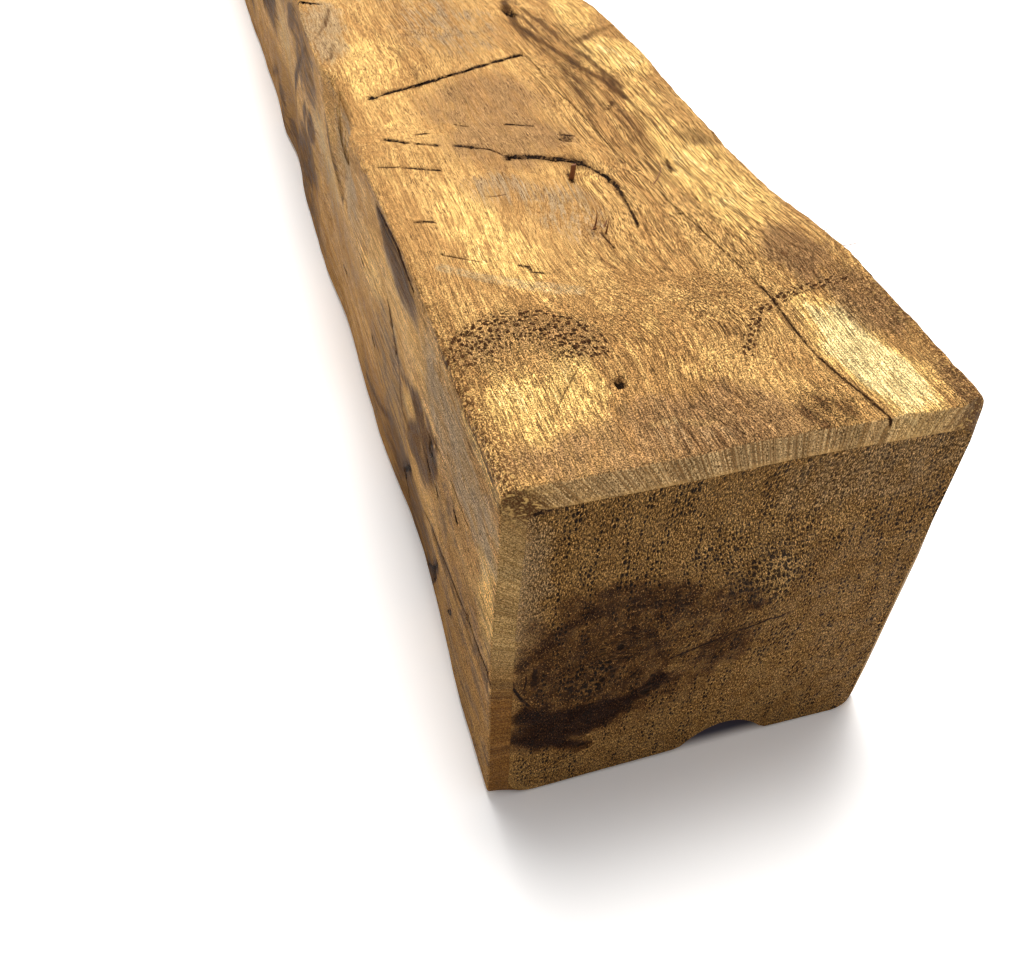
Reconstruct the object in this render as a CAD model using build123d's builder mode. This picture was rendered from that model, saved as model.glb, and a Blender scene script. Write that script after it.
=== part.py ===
"""A hand-hewn barn beam cut to length as a fireplace mantel.

One solid timber lies on its underside. X runs along the beam and the near sawn end is at +X.
The front face looks to -Y, the back face goes against the wall at +Y, and Z is up.
The origin is at the middle of the underside. Sizes are in millimetres.
A place is a distance from the near end, a height is above the underside, and a distance
across the top is measured from the crest of the front face.
"""

from build123d import *
from math import cos, pi, radians, sin, sqrt
from typing import NamedTuple
import os

# Size over the crests of the hewing
BEAM_LENGTH = 1524.0
BEAM_DEPTH = 193.5
BEAM_HEIGHT = 198.0


class Ease(NamedTuple):
    """How far a section is drawn in on each side."""

    front: float
    top: float
    back: float
    bottom: float


class Corners(NamedTuple):
    """Radii of the four corners of a section."""

    bottom_front: float
    top_front: float
    top_back: float
    bottom_back: float


# The rasped easing round both sawn ends: its length along the beam, how far the sawn face
# is drawn in on each side, and the corners of that face
EASE_LENGTH = 5.0
END_EASE = Ease(front=9.0, top=8.0, back=7.5, bottom=1.5)
END_CORNERS = Corners(bottom_front=12.0, top_front=6.0, top_back=7.0, bottom_back=8.0)
NO_EASE = Ease(front=0.0, top=0.0, back=0.0, bottom=0.0)

# Rounding of the four long arrises, and how much and how often it swells along the beam
ARRISES = Corners(bottom_front=6.0, top_front=4.0, top_back=5.0, bottom_back=6.0)
ARRIS_SWELL = 0.3
ARRIS_SWELL_PITCH = 290.0

# Spacing of the sections in the stretch described stroke by stroke and in the bays past it,
# and the points that shape each hewn face
STATION_PITCH = 36.0
BAY_PITCH = 57.0
FACE_POINTS = 6


class Hollow(NamedTuple):
    """A smooth dish in a hewn face, with its middle at place and across."""

    place: float
    across: float
    length: float
    width: float
    depth: float


class Bite(NamedTuple):
    """A crisp-edged scoop of the adze, turned in the face by an angle in degrees."""

    place: float
    across: float
    length: float
    width: float
    depth: float
    turn: float


class Groove(NamedTuple):
    """A narrow V-shaped cut or check: its route as (place, across), mouth width and depth."""

    route: list
    width: float
    depth: float


class Mouth(NamedTuple):
    """A groove's section at a point of its route, with the direction that it opens in."""

    point: Vector
    out: Vector
    width: float
    depth: float


class Pit(NamedTuple):
    """A round hole at a spot of a face."""

    spot: tuple
    diameter: float
    depth: float


# Dishes in the top face
TOP_HOLLOWS = [
    Hollow(2, BEAM_DEPTH, 172, 170, 5.0),
    Hollow(206, BEAM_DEPTH, 204, 190, 5.4),
    Hollow(297, BEAM_DEPTH, 100, 150, 2.8),
    Hollow(502, BEAM_DEPTH, 166, 200, 6.0),
    Hollow(0, 105, 120, 150, 3.0),
    Hollow(43, 30, 205, 160, 5.6),
    Hollow(170, 62, 190, 130, 3.6),
    Hollow(304, 20, 131, 140, 7.8),
    Hollow(449, 70, 165, 120, 2.2),
]

# Dishes in the front face
FRONT_HOLLOWS = [
    Hollow(89, 10, 94, 110, 1.2),
    Hollow(168, 10, 212, 150, 6.2),
    Hollow(294, 10, 177, 140, 2.2),
    Hollow(387, 15, 166, 150, 3.6),
    Hollow(27, BEAM_HEIGHT, 134, 160, 3.2),
    Hollow(484, BEAM_HEIGHT, 88, 150, 2.4),
    Hollow(655, 30, 146, 230, 4.4),
    Hollow(960, 100, 1464, 430, 3.8),
]

# The strokes that repeat by bays past the stretch that the lists describe one by one.
# Their place is counted from the start of the bay.
FIRST_BAY = 640.0
BAY_LENGTH = 178.0
BAY_TOP_HOLLOW = Hollow(70, 0, 230, 210, 6.0)
BAY_FRONT_HOLLOW = Hollow(0, 0, 210, 190, 3.6)
BAY_TOP_BITE = Bite(20, 0, 120, 110, 2.6, 14)
BAY_FRONT_BITE = Bite(110, 0, 140, 96, 2.8, -12)

# Scoops in the front face
FRONT_BITES = [
    Bite(97, 178, 380, 170, 3.0, 8),
    Bite(318, BEAM_HEIGHT, 92, 130, 7.5, 0),
    Bite(138, 118, 70, 26, 2.0, -12),
    Bite(164, 183, 74, 24, 3.4, 4),
    Bite(415, 115, 130, 90, 2.8, -10),
    Bite(540, 57, 150, 100, 3.0, 14),
]

# Scoops in the top face
TOP_BITES = [
    Bite(36, 166, 112, 106, 2.2, 10),
    Bite(396, 22, 100, 70, 3.0, -12),
    Bite(512, 60, 110, 130, 3.0, 18),
]

# Cuts of the axe across the grain of the top face
AXE_SCORES = [
    Groove([(324, 20), (330, 40), (332, 64), (339, 89), (353, 120)], 2.0, 4.0),
    Groove([(264, 19), (248, 43), (238, 61), (230, 75), (223, 88), (215, 106)], 1.6, 4.0),
    Groove([(215, 106), (201, 113), (175, 112), (148, 111)], 1.2, 3.0),
    Groove([(228, 23), (222, 37)], 1.2, 2.0),
    Groove([(264, 79), (256, 97)], 1.2, 2.0),
    Groove([(148, 20), (140, 32)], 1.0, 1.6),
    Groove([(469, 6), (473, 20)], 1.2, 2.0),
]

# The drying check that wanders along the top face to the near end
TOP_CHECK = Groove(
    [(356, 120), (254, 125), (183, 130), (143, 137), (98, 142), (52, 145), (6, 150)], 1.1, 14.0
)

# The drying check in the front face. It opens where it crosses the eased edge, from one
# height to the other, and closes soon after in the sawn end, by (across, height).
FRONT_CHECK = Groove([(118, 74), (97, 81), (66, 82), (45, 88), (20, 93), (7, 92)], 1.6, 9.0)
EDGE_WIDTH = 3.8
EDGE_HEIGHTS = (91.0, 79.0)
EDGE_TAIL = [(12, 76), (22, 72)]

# The check through the heart of the sawn end, its route as (across, height)
HEART_CHECK = Groove([(60, 75), (81, 82), (97, 87), (124, 95)], 1.0, 12.0)

# A nail hole and the hole of a lost knot in the top face, at (place, across),
# and a nail hole in the sawn end, at (across, height)
TOP_NAIL_HOLE = Pit((49, 62), 4.2, 14)
TOP_KNOT_HOLE = Pit((432, 134), 9.0, 20)
END_NAIL_HOLE = Pit((85, 33), 3.6, 10)

# Chip broken out of the underside at the near end
CHIP_MIDDLE = 116.0
CHIP_WIDTH = 60.0
CHIP_HEIGHT = 11.5
CHIP_LENGTH = 95.0

# The share of its width and depth that a groove keeps at its tips
TIP_SHARE = 0.35

# How far cutting solids stand clear of the surface that they cut
CLEAR = 3.0

# Outward directions of the three faces that carry marks
TOP_OUT = Vector(0, 0, 1)
FRONT_OUT = Vector(0, -1, 0)
END_OUT = Vector(1, 0, 0)


def by_bays(stroke, face_width):
    """Return the stroke repeated bay by bay to the far end, wandering over the face."""
    count = int((BEAM_LENGTH - FIRST_BAY) / BAY_LENGTH)
    return [
        stroke._replace(
            place=FIRST_BAY + bay * BAY_LENGTH + stroke.place,
            across=face_width * ((bay * 2 + 1) % 3) / 2,
            depth=stroke.depth * (0.75 if bay % 2 else 1.0),
        )
        for bay in range(count)
    ]


def sunk(hollows, place, across):
    """Return how deep the hollows lie below the crest plane at a point of a face."""
    depth = 0.0
    for hollow in hollows:
        along = 2 * (place - hollow.place) / hollow.length
        over = 2 * (across - hollow.across) / hollow.width
        if abs(along) < 1 and abs(over) < 1:
            depth += hollow.depth * (1 - along**2) ** 2 * (1 - over**2) ** 2
    return depth


top_hollows = TOP_HOLLOWS + by_bays(BAY_TOP_HOLLOW, BEAM_DEPTH)
front_hollows = FRONT_HOLLOWS + by_bays(BAY_FRONT_HOLLOW, BEAM_HEIGHT)
top_bites = TOP_BITES + by_bays(BAY_TOP_BITE, BEAM_DEPTH)
front_bites = FRONT_BITES + by_bays(BAY_FRONT_BITE, BEAM_HEIGHT)


def top_level(place, across):
    """Return the height of the top face."""
    return BEAM_HEIGHT - sunk(top_hollows, place, across)


def front_level(place, height):
    """Return the Y of the front face."""
    return -BEAM_DEPTH / 2 + sunk(front_hollows, place, height)


def swell(arris, place, phase):
    """Return an arris's radius at a place along the beam."""
    return arris * (1 + ARRIS_SWELL * sin(2 * pi * place / ARRIS_SWELL_PITCH + phase))


def spaced(first, last, pitch):
    """Return even places from the first to before the last, about a pitch apart."""
    count = round((last - first) / pitch)
    return [first + (last - first) * index / count for index in range(count)]


def draw_section(place, ease=NO_EASE, corners=None):
    """Sketch the beam's section at a place, drawn in by the ease."""
    bottom_front, top_front, top_back, bottom_back = corners or (
        swell(ARRISES.bottom_front, place, 0.0),
        swell(ARRISES.top_front, place, 1.7),
        swell(ARRISES.top_back, place, 3.1),
        swell(ARRISES.bottom_back, place, 4.4),
    )
    back = BEAM_DEPTH / 2 - ease.back
    foot = front_level(place, 0) + ease.front
    brow = front_level(place, BEAM_HEIGHT) + ease.front
    front_top = top_level(place, 0) - ease.top
    back_top = top_level(place, BEAM_DEPTH) - ease.top
    floor = ease.bottom
    bulge = 1 - sqrt(0.5)

    def front_stop(step):
        low = floor + bottom_front
        height = low + (front_top - top_front - low) * step / (FACE_POINTS - 1)
        return (front_level(place, height) + ease.front, height)

    def top_stop(step):
        first = brow + top_front
        y = first + (back - top_back - first) * step / (FACE_POINTS - 1)
        return (y, top_level(place, y + BEAM_DEPTH / 2) - ease.top)

    front = [front_stop(step) for step in range(FACE_POINTS)]
    top = [top_stop(step) for step in range(FACE_POINTS)]
    with BuildSketch(Plane.YZ.offset(BEAM_LENGTH / 2 - place)) as section:
        with BuildLine():
            Line((back - bottom_back, floor), (foot + bottom_front, floor))
            ThreePointArc(
                (foot + bottom_front, floor),
                (foot + bottom_front * bulge, floor + bottom_front * bulge),
                front[0],
            )
            Spline(*front)
            ThreePointArc(
                front[-1], (brow + top_front * bulge, front_top - top_front * bulge), top[0]
            )
            Spline(*top)
            ThreePointArc(
                top[-1],
                (back - top_back * bulge, back_top - top_back * bulge),
                (back, back_top - top_back),
            )
            Line((back, back_top - top_back), (back, floor + bottom_back))
            ThreePointArc(
                (back, floor + bottom_back),
                (back - bottom_back * bulge, floor + bottom_back * bulge),
                (back - bottom_back, floor),
            )
        make_face()
    return section.sketch


def scoop(bite, plane):
    """Return the spheroid that cuts a bite, its middle above a face that the plane touches."""
    radius = bite.length**2 / (8 * bite.depth) + bite.depth / 2
    reach = bite.width / 2 / sqrt(1 - (1 - bite.depth / radius) ** 2)
    centre = plane.origin + plane.z_dir * (radius - bite.depth)
    with BuildPart() as spheroid:
        with BuildSketch(Plane(centre, x_dir=plane.z_dir, z_dir=plane.x_dir)):
            with BuildLine():
                EllipticalCenterArc((0, 0), radius, reach, start_angle=-90, arc_size=180)
                Line((0, reach), (0, -reach))
            make_face()
        revolve(axis=Axis(centre, plane.y_dir))
    return spheroid.part


def top_point(place, across):
    """Return a point of the hewn top face."""
    return Vector(BEAM_LENGTH / 2 - place, across - BEAM_DEPTH / 2, top_level(place, across))


def front_point(place, height):
    """Return a point of the hewn front face."""
    return Vector(BEAM_LENGTH / 2 - place, front_level(place, height), height)


def end_point(across, height):
    """Return a point of the near sawn end."""
    return Vector(BEAM_LENGTH / 2, across - BEAM_DEPTH / 2, height)


def top_scoop(bite):
    """Return the spheroid of a bite in the top face."""
    turn = radians(bite.turn)
    middle = top_point(bite.place, bite.across)
    return scoop(bite, Plane(middle, x_dir=(cos(turn), sin(turn), 0), z_dir=TOP_OUT))


def front_scoop(bite):
    """Return the spheroid of a bite in the front face."""
    turn = radians(bite.turn)
    middle = front_point(bite.place, bite.across)
    return scoop(bite, Plane(middle, x_dir=(cos(turn), 0, sin(turn)), z_dir=FRONT_OUT))


def v_cut(mouths):
    """Return the wedge of a groove that runs over the mouths, open to the outside."""
    with BuildPart() as wedge:
        for index, mouth in enumerate(mouths):
            before = mouths[max(index - 1, 0)].point
            after = mouths[min(index + 1, len(mouths) - 1)].point
            side = (after - before).cross(mouth.out).normalized()
            half = mouth.width / 2 * (mouth.depth + CLEAR) / mouth.depth
            with BuildSketch(Plane(mouth.point, x_dir=side, z_dir=side.cross(mouth.out))):
                with BuildLine():
                    Polyline((-half, CLEAR), (half, CLEAR), (0, -mouth.depth), close=True)
                make_face()
        loft(ruled=True)
    return wedge.part


def along_groove(groove, points, out, first=TIP_SHARE, last=TIP_SHARE):
    """Return the mouths of a groove over the points, drawn in to a share of its size at each tip."""
    shares = [first] + [1.0] * (len(points) - 2) + [last]
    return [
        Mouth(point, out, groove.width * share, groove.depth * share)
        for point, share in zip(points, shares)
    ]


def top_groove(groove):
    """Return the wedge of a groove in the top face."""
    return v_cut(along_groove(groove, [top_point(*stop) for stop in groove.route], TOP_OUT))


def edge_check():
    """Return the wedge of the check that leaves the front face round the near end's edge."""
    upper, lower = EDGE_HEIGHTS
    edge = (front_point(EASE_LENGTH, upper) + end_point(END_EASE.front, lower)) / 2
    edge_out = (FRONT_OUT + END_OUT).normalized()
    front_points = [front_point(*stop) for stop in FRONT_CHECK.route]
    tail_points = [end_point(*stop) for stop in EDGE_TAIL]
    return v_cut(
        along_groove(FRONT_CHECK, front_points, FRONT_OUT, last=1.0)
        + [Mouth(edge, edge_out, EDGE_WIDTH, FRONT_CHECK.depth)]
        + along_groove(FRONT_CHECK, tail_points, END_OUT, first=1.0)
    )


def heart_check():
    """Return the wedge of the check through the heart of the sawn end."""
    points = [end_point(*stop) for stop in HEART_CHECK.route]
    return v_cut(along_groove(HEART_CHECK, points, END_OUT))


def chip():
    """Return the arch of the broken chip, which runs out along the underside."""
    middle = CHIP_MIDDLE - BEAM_DEPTH / 2
    with BuildPart() as arch:
        for place, share in ((-CLEAR, 1.0), (CHIP_LENGTH / 2, 0.6), (CHIP_LENGTH, 0.1)):
            left = (middle - CHIP_WIDTH / 2 * share, -CLEAR)
            right = (middle + CHIP_WIDTH / 2 * share, -CLEAR)
            with BuildSketch(Plane.YZ.offset(BEAM_LENGTH / 2 - place)):
                with BuildLine():
                    Spline(left, (middle, CHIP_HEIGHT * share), right)
                    Line(right, left)
                make_face()
        loft(ruled=True)
    return arch.part


cutters = [
    *[front_scoop(bite) for bite in front_bites],
    *[top_scoop(bite) for bite in top_bites],
    *[top_groove(groove) for groove in AXE_SCORES + [TOP_CHECK]],
    edge_check(),
    heart_check(),
    chip(),
]

with BuildPart() as hewn_beam:
    # Timber with its four hewn and sawn sides and its eased ends
    last = BEAM_LENGTH - EASE_LENGTH
    places = [
        *spaced(EASE_LENGTH, FIRST_BAY, STATION_PITCH), *spaced(FIRST_BAY, last, BAY_PITCH), last
    ]
    near_end = draw_section(0, END_EASE, END_CORNERS)
    far_end = draw_section(BEAM_LENGTH, END_EASE, END_CORNERS)
    loft([near_end, *[draw_section(place) for place in places], far_end], ruled=True)

    # Tool marks, checks and the broken chip
    for cutter in cutters:
        add(cutter, mode=Mode.SUBTRACT)

    # Holes
    for pit in (TOP_NAIL_HOLE, TOP_KNOT_HOLE):
        with Locations(top_point(*pit.spot)):
            Hole(pit.diameter / 2, pit.depth)
    with Locations(Plane(end_point(*END_NAIL_HOLE.spot), z_dir=END_OUT)):
        Hole(END_NAIL_HOLE.diameter / 2, END_NAIL_HOLE.depth)
hewn_beam.part.label = "hewn_beam"

os.makedirs("parts", exist_ok=True)
export_step(hewn_beam.part, "parts/hewn_beam.step")
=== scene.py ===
"""Portrait of a hewn barn beam mantel in honey-coloured wood.

Lengths in the classes are in millimetres and are turned to metres when a mesh is made. A place is
the distance from the near sawn end, a height is above the underside, and a distance across the
top is measured from the crest of the front face, as in the beam's own drawing.
"""

import logging
import math
from dataclasses import dataclass, field
from enum import Enum

import bpy
import numpy as np
from mathutils import Matrix, Vector


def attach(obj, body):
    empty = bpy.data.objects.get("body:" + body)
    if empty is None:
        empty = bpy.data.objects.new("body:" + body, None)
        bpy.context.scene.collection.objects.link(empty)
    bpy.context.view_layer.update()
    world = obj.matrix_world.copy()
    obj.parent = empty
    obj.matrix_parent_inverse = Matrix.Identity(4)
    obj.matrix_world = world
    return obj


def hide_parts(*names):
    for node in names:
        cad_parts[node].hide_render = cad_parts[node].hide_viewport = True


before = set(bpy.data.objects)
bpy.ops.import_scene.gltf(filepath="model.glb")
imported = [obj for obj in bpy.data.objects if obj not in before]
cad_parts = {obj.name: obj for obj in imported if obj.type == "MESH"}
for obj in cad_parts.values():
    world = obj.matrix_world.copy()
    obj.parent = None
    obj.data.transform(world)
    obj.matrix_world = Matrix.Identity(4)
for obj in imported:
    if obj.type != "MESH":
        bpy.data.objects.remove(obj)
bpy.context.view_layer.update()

MILLIMETRE = 0.001
LENGTH = 1524.0
DEPTH = 193.5
HEIGHT = 198.0

# Values of the attributes that say how far the nearest dark line and hole are, away from any
NO_LINE = 30.0
NO_HOLE = 3.0

# The noise's table of random numbers, and the primes that spread a lattice's corners over it
NOISE_TABLE = 8192
NOISE_PRIMES = np.array((73856093, 19349663, 83492791))

log = logging.getLogger("mantel")


class Side(Enum):
    """The faces of the beam that carry named marks."""

    TOP = "top"
    FRONT = "front"
    END = "end"


class Tone(Enum):
    """Colour masks that the wood's finish reads, one vertex attribute each."""

    DARK = "dark"
    PALE = "pale"
    GREY = "grey"
    MAUVE = "mauve"
    TORN = "torn"
    COMB = "comb"
    SCRATCH = "scratch"


@dataclass(frozen=True)
class Hollow:
    """A smooth dish in a hewn face."""

    place: float
    across: float
    length: float
    width: float
    depth: float


@dataclass(frozen=True)
class Bite:
    """A crisp-edged scoop of the adze, turned in its face by an angle in degrees."""

    side: Side
    place: float
    across: float
    length: float
    width: float
    depth: float
    turn: float = 0.0


@dataclass(frozen=True)
class Cut:
    """A narrow groove or dark line in a face: its mouth width, depth, darkness and route. The
    darkness is partly stain and partly painted shade in the groove.
    """

    width: float
    depth: float
    stain_and_shade: float
    route: tuple


@dataclass(frozen=True)
class Pit:
    """A round or oval hole in a face."""

    side: Side
    place: float
    across: float
    length: float
    width: float
    depth: float


@dataclass(frozen=True)
class Patch:
    """A soft oval patch of one tone on a face, turned by an angle in degrees."""

    place: float
    across: float
    length: float
    width: float
    strength: float = 1.0
    turn: float = 0.0


@dataclass(frozen=True)
class Stroke:
    """A soft band of one tone along a route on a face."""

    width: float
    strength: float
    route: tuple


@dataclass(frozen=True)
class Crescent:
    """Scales of torn grain along an arc of the top face, between two angles in degrees."""

    place: float
    across: float
    radius: float
    start: float
    stop: float
    inner: float
    outer: float


@dataclass(frozen=True)
class Drift:
    """A stretch of a face where the grain runs off at a slope."""

    side: Side
    place: float
    across: float
    length: float
    width: float
    slope: float


def lattice_noise(points: np.ndarray, pitch: tuple, seed: int) -> np.ndarray:
    """Smooth random values: a random number at each lattice corner, blended by smoothsteps.

    Args:
        points: Points in millimetres, shaped (..., 3).
        pitch: Lattice spacing along each axis.
        seed: Chooses the random numbers.

    Returns:
        Values from -1 to 1, shaped (...).
    """
    table = np.random.default_rng(seed).uniform(-1.0, 1.0, NOISE_TABLE)
    scaled = points / np.asarray(pitch, float)
    corner = np.floor(scaled).astype(np.int64)
    share = scaled - corner
    share = share * share * (3.0 - 2.0 * share)
    total = np.zeros(points.shape[:-1])
    for step in np.ndindex(2, 2, 2):
        cell = (corner + np.array(step)) * NOISE_PRIMES
        key = cell[..., 0] ^ cell[..., 1] ^ cell[..., 2]
        weight = np.prod(np.where(np.array(step) == 1, share, 1.0 - share), axis=-1)
        total += weight * table[np.abs(key) % NOISE_TABLE]
    return total


def soft_step(values: np.ndarray, low: float, high: float) -> np.ndarray:
    """Values carried from 0 at low to 1 at high by a smoothstep."""
    share = np.clip((values - low) / (high - low), 0.0, 1.0)
    return share * share * (3.0 - 2.0 * share)


def offset_from_route(spots: np.ndarray, route: tuple) -> tuple:
    """Where spots lie against a route: each takes the segment whose clamped point is nearest.

    Args:
        spots: Spots on a face in millimetres, shaped (..., 2).
        route: Two or more spots that the route joins.

    Returns:
        The signed offset to the left of the route, the distance past its tips, and the unit
        normal of the nearest segment, shaped (...), (...) and (..., 2).
    """
    knots = np.asarray(route, float)
    best = np.full(spots.shape[:-1], np.inf)
    signed = np.zeros(spots.shape[:-1])
    past = np.zeros(spots.shape[:-1])
    normals = np.zeros(spots.shape)
    for first, last in zip(knots[:-1], knots[1:]):
        run = last - first
        reach = float(np.hypot(*run))
        unit = run / reach
        normal = np.array([-unit[1], unit[0]])
        away = spots - first
        along = away @ unit
        side = away @ normal
        over = np.maximum(np.maximum(-along, along - reach), 0.0)
        gap = np.hypot(side, over)
        nearer = gap < best
        best = np.where(nearer, gap, best)
        signed = np.where(nearer, side, signed)
        past = np.where(nearer, over, past)
        normals = np.where(nearer[..., None], normal, normals)
    return signed, past, normals


@dataclass
class HewnForm:
    """The beam's hewn shape: rings of points round its section, place by place."""

    ease_length: float = 5.0
    ease_front: float = 9.0
    ease_top: float = 8.0
    ease_back: float = 7.5
    ease_bottom: float = 3.0
    end_corners: tuple = (12.0, 6.0, 7.0, 8.0)
    arrises: tuple = (6.0, 4.0, 5.0, 6.0)
    arris_phases: tuple = (0.0, 1.7, 3.1, 4.4)
    arris_swell: float = 0.3
    arris_pitch: float = 290.0
    first_bay: float = 640.0
    bay_length: float = 178.0
    chip_middle: float = 116.5
    chip_width: float = 44.0
    chip_height: float = 13.5
    chip_length: float = 95.0
    top_hollows: list = field(default_factory=lambda: [
        Hollow(2, DEPTH, 172, 170, 5.0), Hollow(206, DEPTH, 204, 190, 5.4),
        Hollow(297, DEPTH, 100, 150, 2.8), Hollow(502, DEPTH, 166, 200, 6.0),
        Hollow(0, 105, 120, 150, 3.0), Hollow(43, 30, 205, 160, 5.6),
        Hollow(170, 62, 190, 130, 3.6), Hollow(304, 20, 131, 140, 7.8),
        Hollow(449, 70, 165, 120, 2.2),
    ])
    front_hollows: list = field(default_factory=lambda: [
        Hollow(89, 10, 94, 110, 1.2), Hollow(168, 10, 212, 150, 6.2),
        Hollow(294, 10, 177, 140, 2.2), Hollow(387, 15, 166, 150, 3.6),
        Hollow(27, HEIGHT, 134, 160, 3.2), Hollow(484, HEIGHT, 88, 150, 2.4),
        Hollow(655, 30, 146, 230, 4.4), Hollow(960, 100, 1464, 430, 3.8),
    ])
    bites: list = field(default_factory=lambda: [
        Bite(Side.FRONT, 97, 178, 380, 170, 3.0, 8),
        Bite(Side.FRONT, 318, HEIGHT, 92, 130, 7.5),
        Bite(Side.FRONT, 138, 118, 70, 26, 2.0, -12),
        Bite(Side.FRONT, 164, 183, 74, 24, 3.4, 4),
        Bite(Side.FRONT, 415, 115, 130, 90, 2.8, -10),
        Bite(Side.FRONT, 540, 57, 150, 100, 3.0, 14),
        Bite(Side.TOP, 36, 166, 112, 106, 2.2, 10),
        Bite(Side.TOP, 396, 22, 100, 70, 3.0, -12),
        Bite(Side.TOP, 512, 60, 110, 130, 3.0, 18),
    ])

    def __post_init__(self) -> None:
        """Adds the strokes that repeat bay by bay to the far end."""
        count = int((LENGTH - self.first_bay) / self.bay_length)
        for bay in range(count):
            start = self.first_bay + bay * self.bay_length
            wander = ((bay * 2 + 1) % 3) / 2
            share = 0.75 if bay % 2 else 1.0
            top, front = DEPTH * wander, HEIGHT * wander
            self.top_hollows.append(Hollow(start + 70, top, 230, 210, 6.0 * share))
            self.front_hollows.append(Hollow(start, front, 210, 190, 3.6 * share))
            self.bites.append(Bite(Side.TOP, start + 20, top, 120, 110, 2.6 * share, 14))
            self.bites.append(Bite(Side.FRONT, start + 110, front, 140, 96, 2.8 * share, -12))

    def chip(self, place: np.ndarray, across: np.ndarray) -> np.ndarray:
        """Height of the chip under the near end: an arch that shrinks as it runs inwards.

        Args:
            place: Distances from the near end.
            across: Distances over the underside, from the front.

        Returns:
            Heights above the underside.
        """
        share = np.interp(place, (0.0, self.chip_length / 2, self.chip_length), (1.0, 0.6, 0.0))
        over = 2 * (across - self.chip_middle) / (self.chip_width * np.maximum(share, 0.01))
        return self.chip_height * share * np.clip(1.0 - over**2, 0.0, 1.0) ** 0.9

    @staticmethod
    def sunk(hollows: list, place: np.ndarray, across: np.ndarray) -> np.ndarray:
        """How deep hollows lie: each adds depth times the square of one less x squared, both ways.

        Args:
            hollows: The dishes of one face.
            place: Distances from the near end.
            across: Distances over the face.

        Returns:
            Depths below the crest plane.
        """
        depth = 0.0
        for dish in hollows:
            along = 2.0 * (place - dish.place) / dish.length
            over = 2.0 * (across - dish.across) / dish.width
            depth = depth + dish.depth * (
                np.clip(1.0 - along**2, 0.0, 1.0) ** 2 * np.clip(1.0 - over**2, 0.0, 1.0) ** 2
            )
        return depth

    def top_level(self, place: np.ndarray, across: np.ndarray) -> np.ndarray:
        """Height of the top face."""
        return HEIGHT - self.sunk(self.top_hollows, place, across)

    def front_level(self, place: np.ndarray, height: np.ndarray) -> np.ndarray:
        """Y of the front face."""
        return -DEPTH / 2 + self.sunk(self.front_hollows, place, height)

    def radii(self, place: np.ndarray, eased: np.ndarray) -> list:
        """Corner radii, front foot first: they swell along the beam and round off at its ends.

        Args:
            place: Distances from the near end, shaped (rows, columns).
            eased: How far the easing has drawn the section in.

        Returns:
            The four corners' radii, each shaped (rows, columns).
        """
        swells = [
            radius * (1 + self.arris_swell * np.sin(2 * np.pi * place / self.arris_pitch + phase))
            for radius, phase in zip(self.arrises, self.arris_phases)
        ]
        return [
            swell * (1 - eased) + corner * eased
            for swell, corner in zip(swells, self.end_corners)
        ]

    def bitten(self, points: np.ndarray, inward: np.ndarray) -> np.ndarray:
        """Points pushed inward to the far wall of every spheroid scoop that they lie in.

        Each scoop is an ellipsoid over its face. In its own units a point moves along the inward
        direction until its distance from the ellipsoid's middle is 1.

        Args:
            points: Points of the surface, shaped (..., 3).
            inward: Unit directions into the wood, shaped (..., 3).

        Returns:
            The moved points.
        """
        for bite in self.bites:
            radius = bite.length**2 / (8 * bite.depth) + bite.depth / 2
            reach = bite.width / 2 / math.sqrt(1 - (1 - bite.depth / radius) ** 2)
            angle = math.radians(bite.turn)
            here, over = np.array(bite.place, float), np.array(bite.across, float)
            if bite.side is Side.FRONT:
                spot = np.array([LENGTH / 2 - here, self.front_level(here, over), over])
                out = np.array([0.0, -1.0, 0.0])
                run = np.array([math.cos(angle), 0.0, math.sin(angle)])
            else:
                spot = np.array([LENGTH / 2 - here, over - DEPTH / 2, self.top_level(here, over)])
                out = np.array([0.0, 0.0, 1.0])
                run = np.array([math.cos(angle), math.sin(angle), 0.0])
            middle = spot + out * (radius - bite.depth)
            to_unit = np.stack([run / radius, np.cross(out, run) / reach, out / radius])
            from_middle = (points - middle) @ to_unit.T
            heading = inward @ to_unit.T
            cross = (from_middle * heading).sum(-1)
            square = (heading * heading).sum(-1)
            excess = (from_middle * from_middle).sum(-1) - 1.0
            travel = (-cross + np.sqrt(np.maximum(cross**2 - square * excess, 0.0))) / square
            points = points + np.where(excess < 0.0, travel, 0.0)[..., None] * inward
        return points
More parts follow.
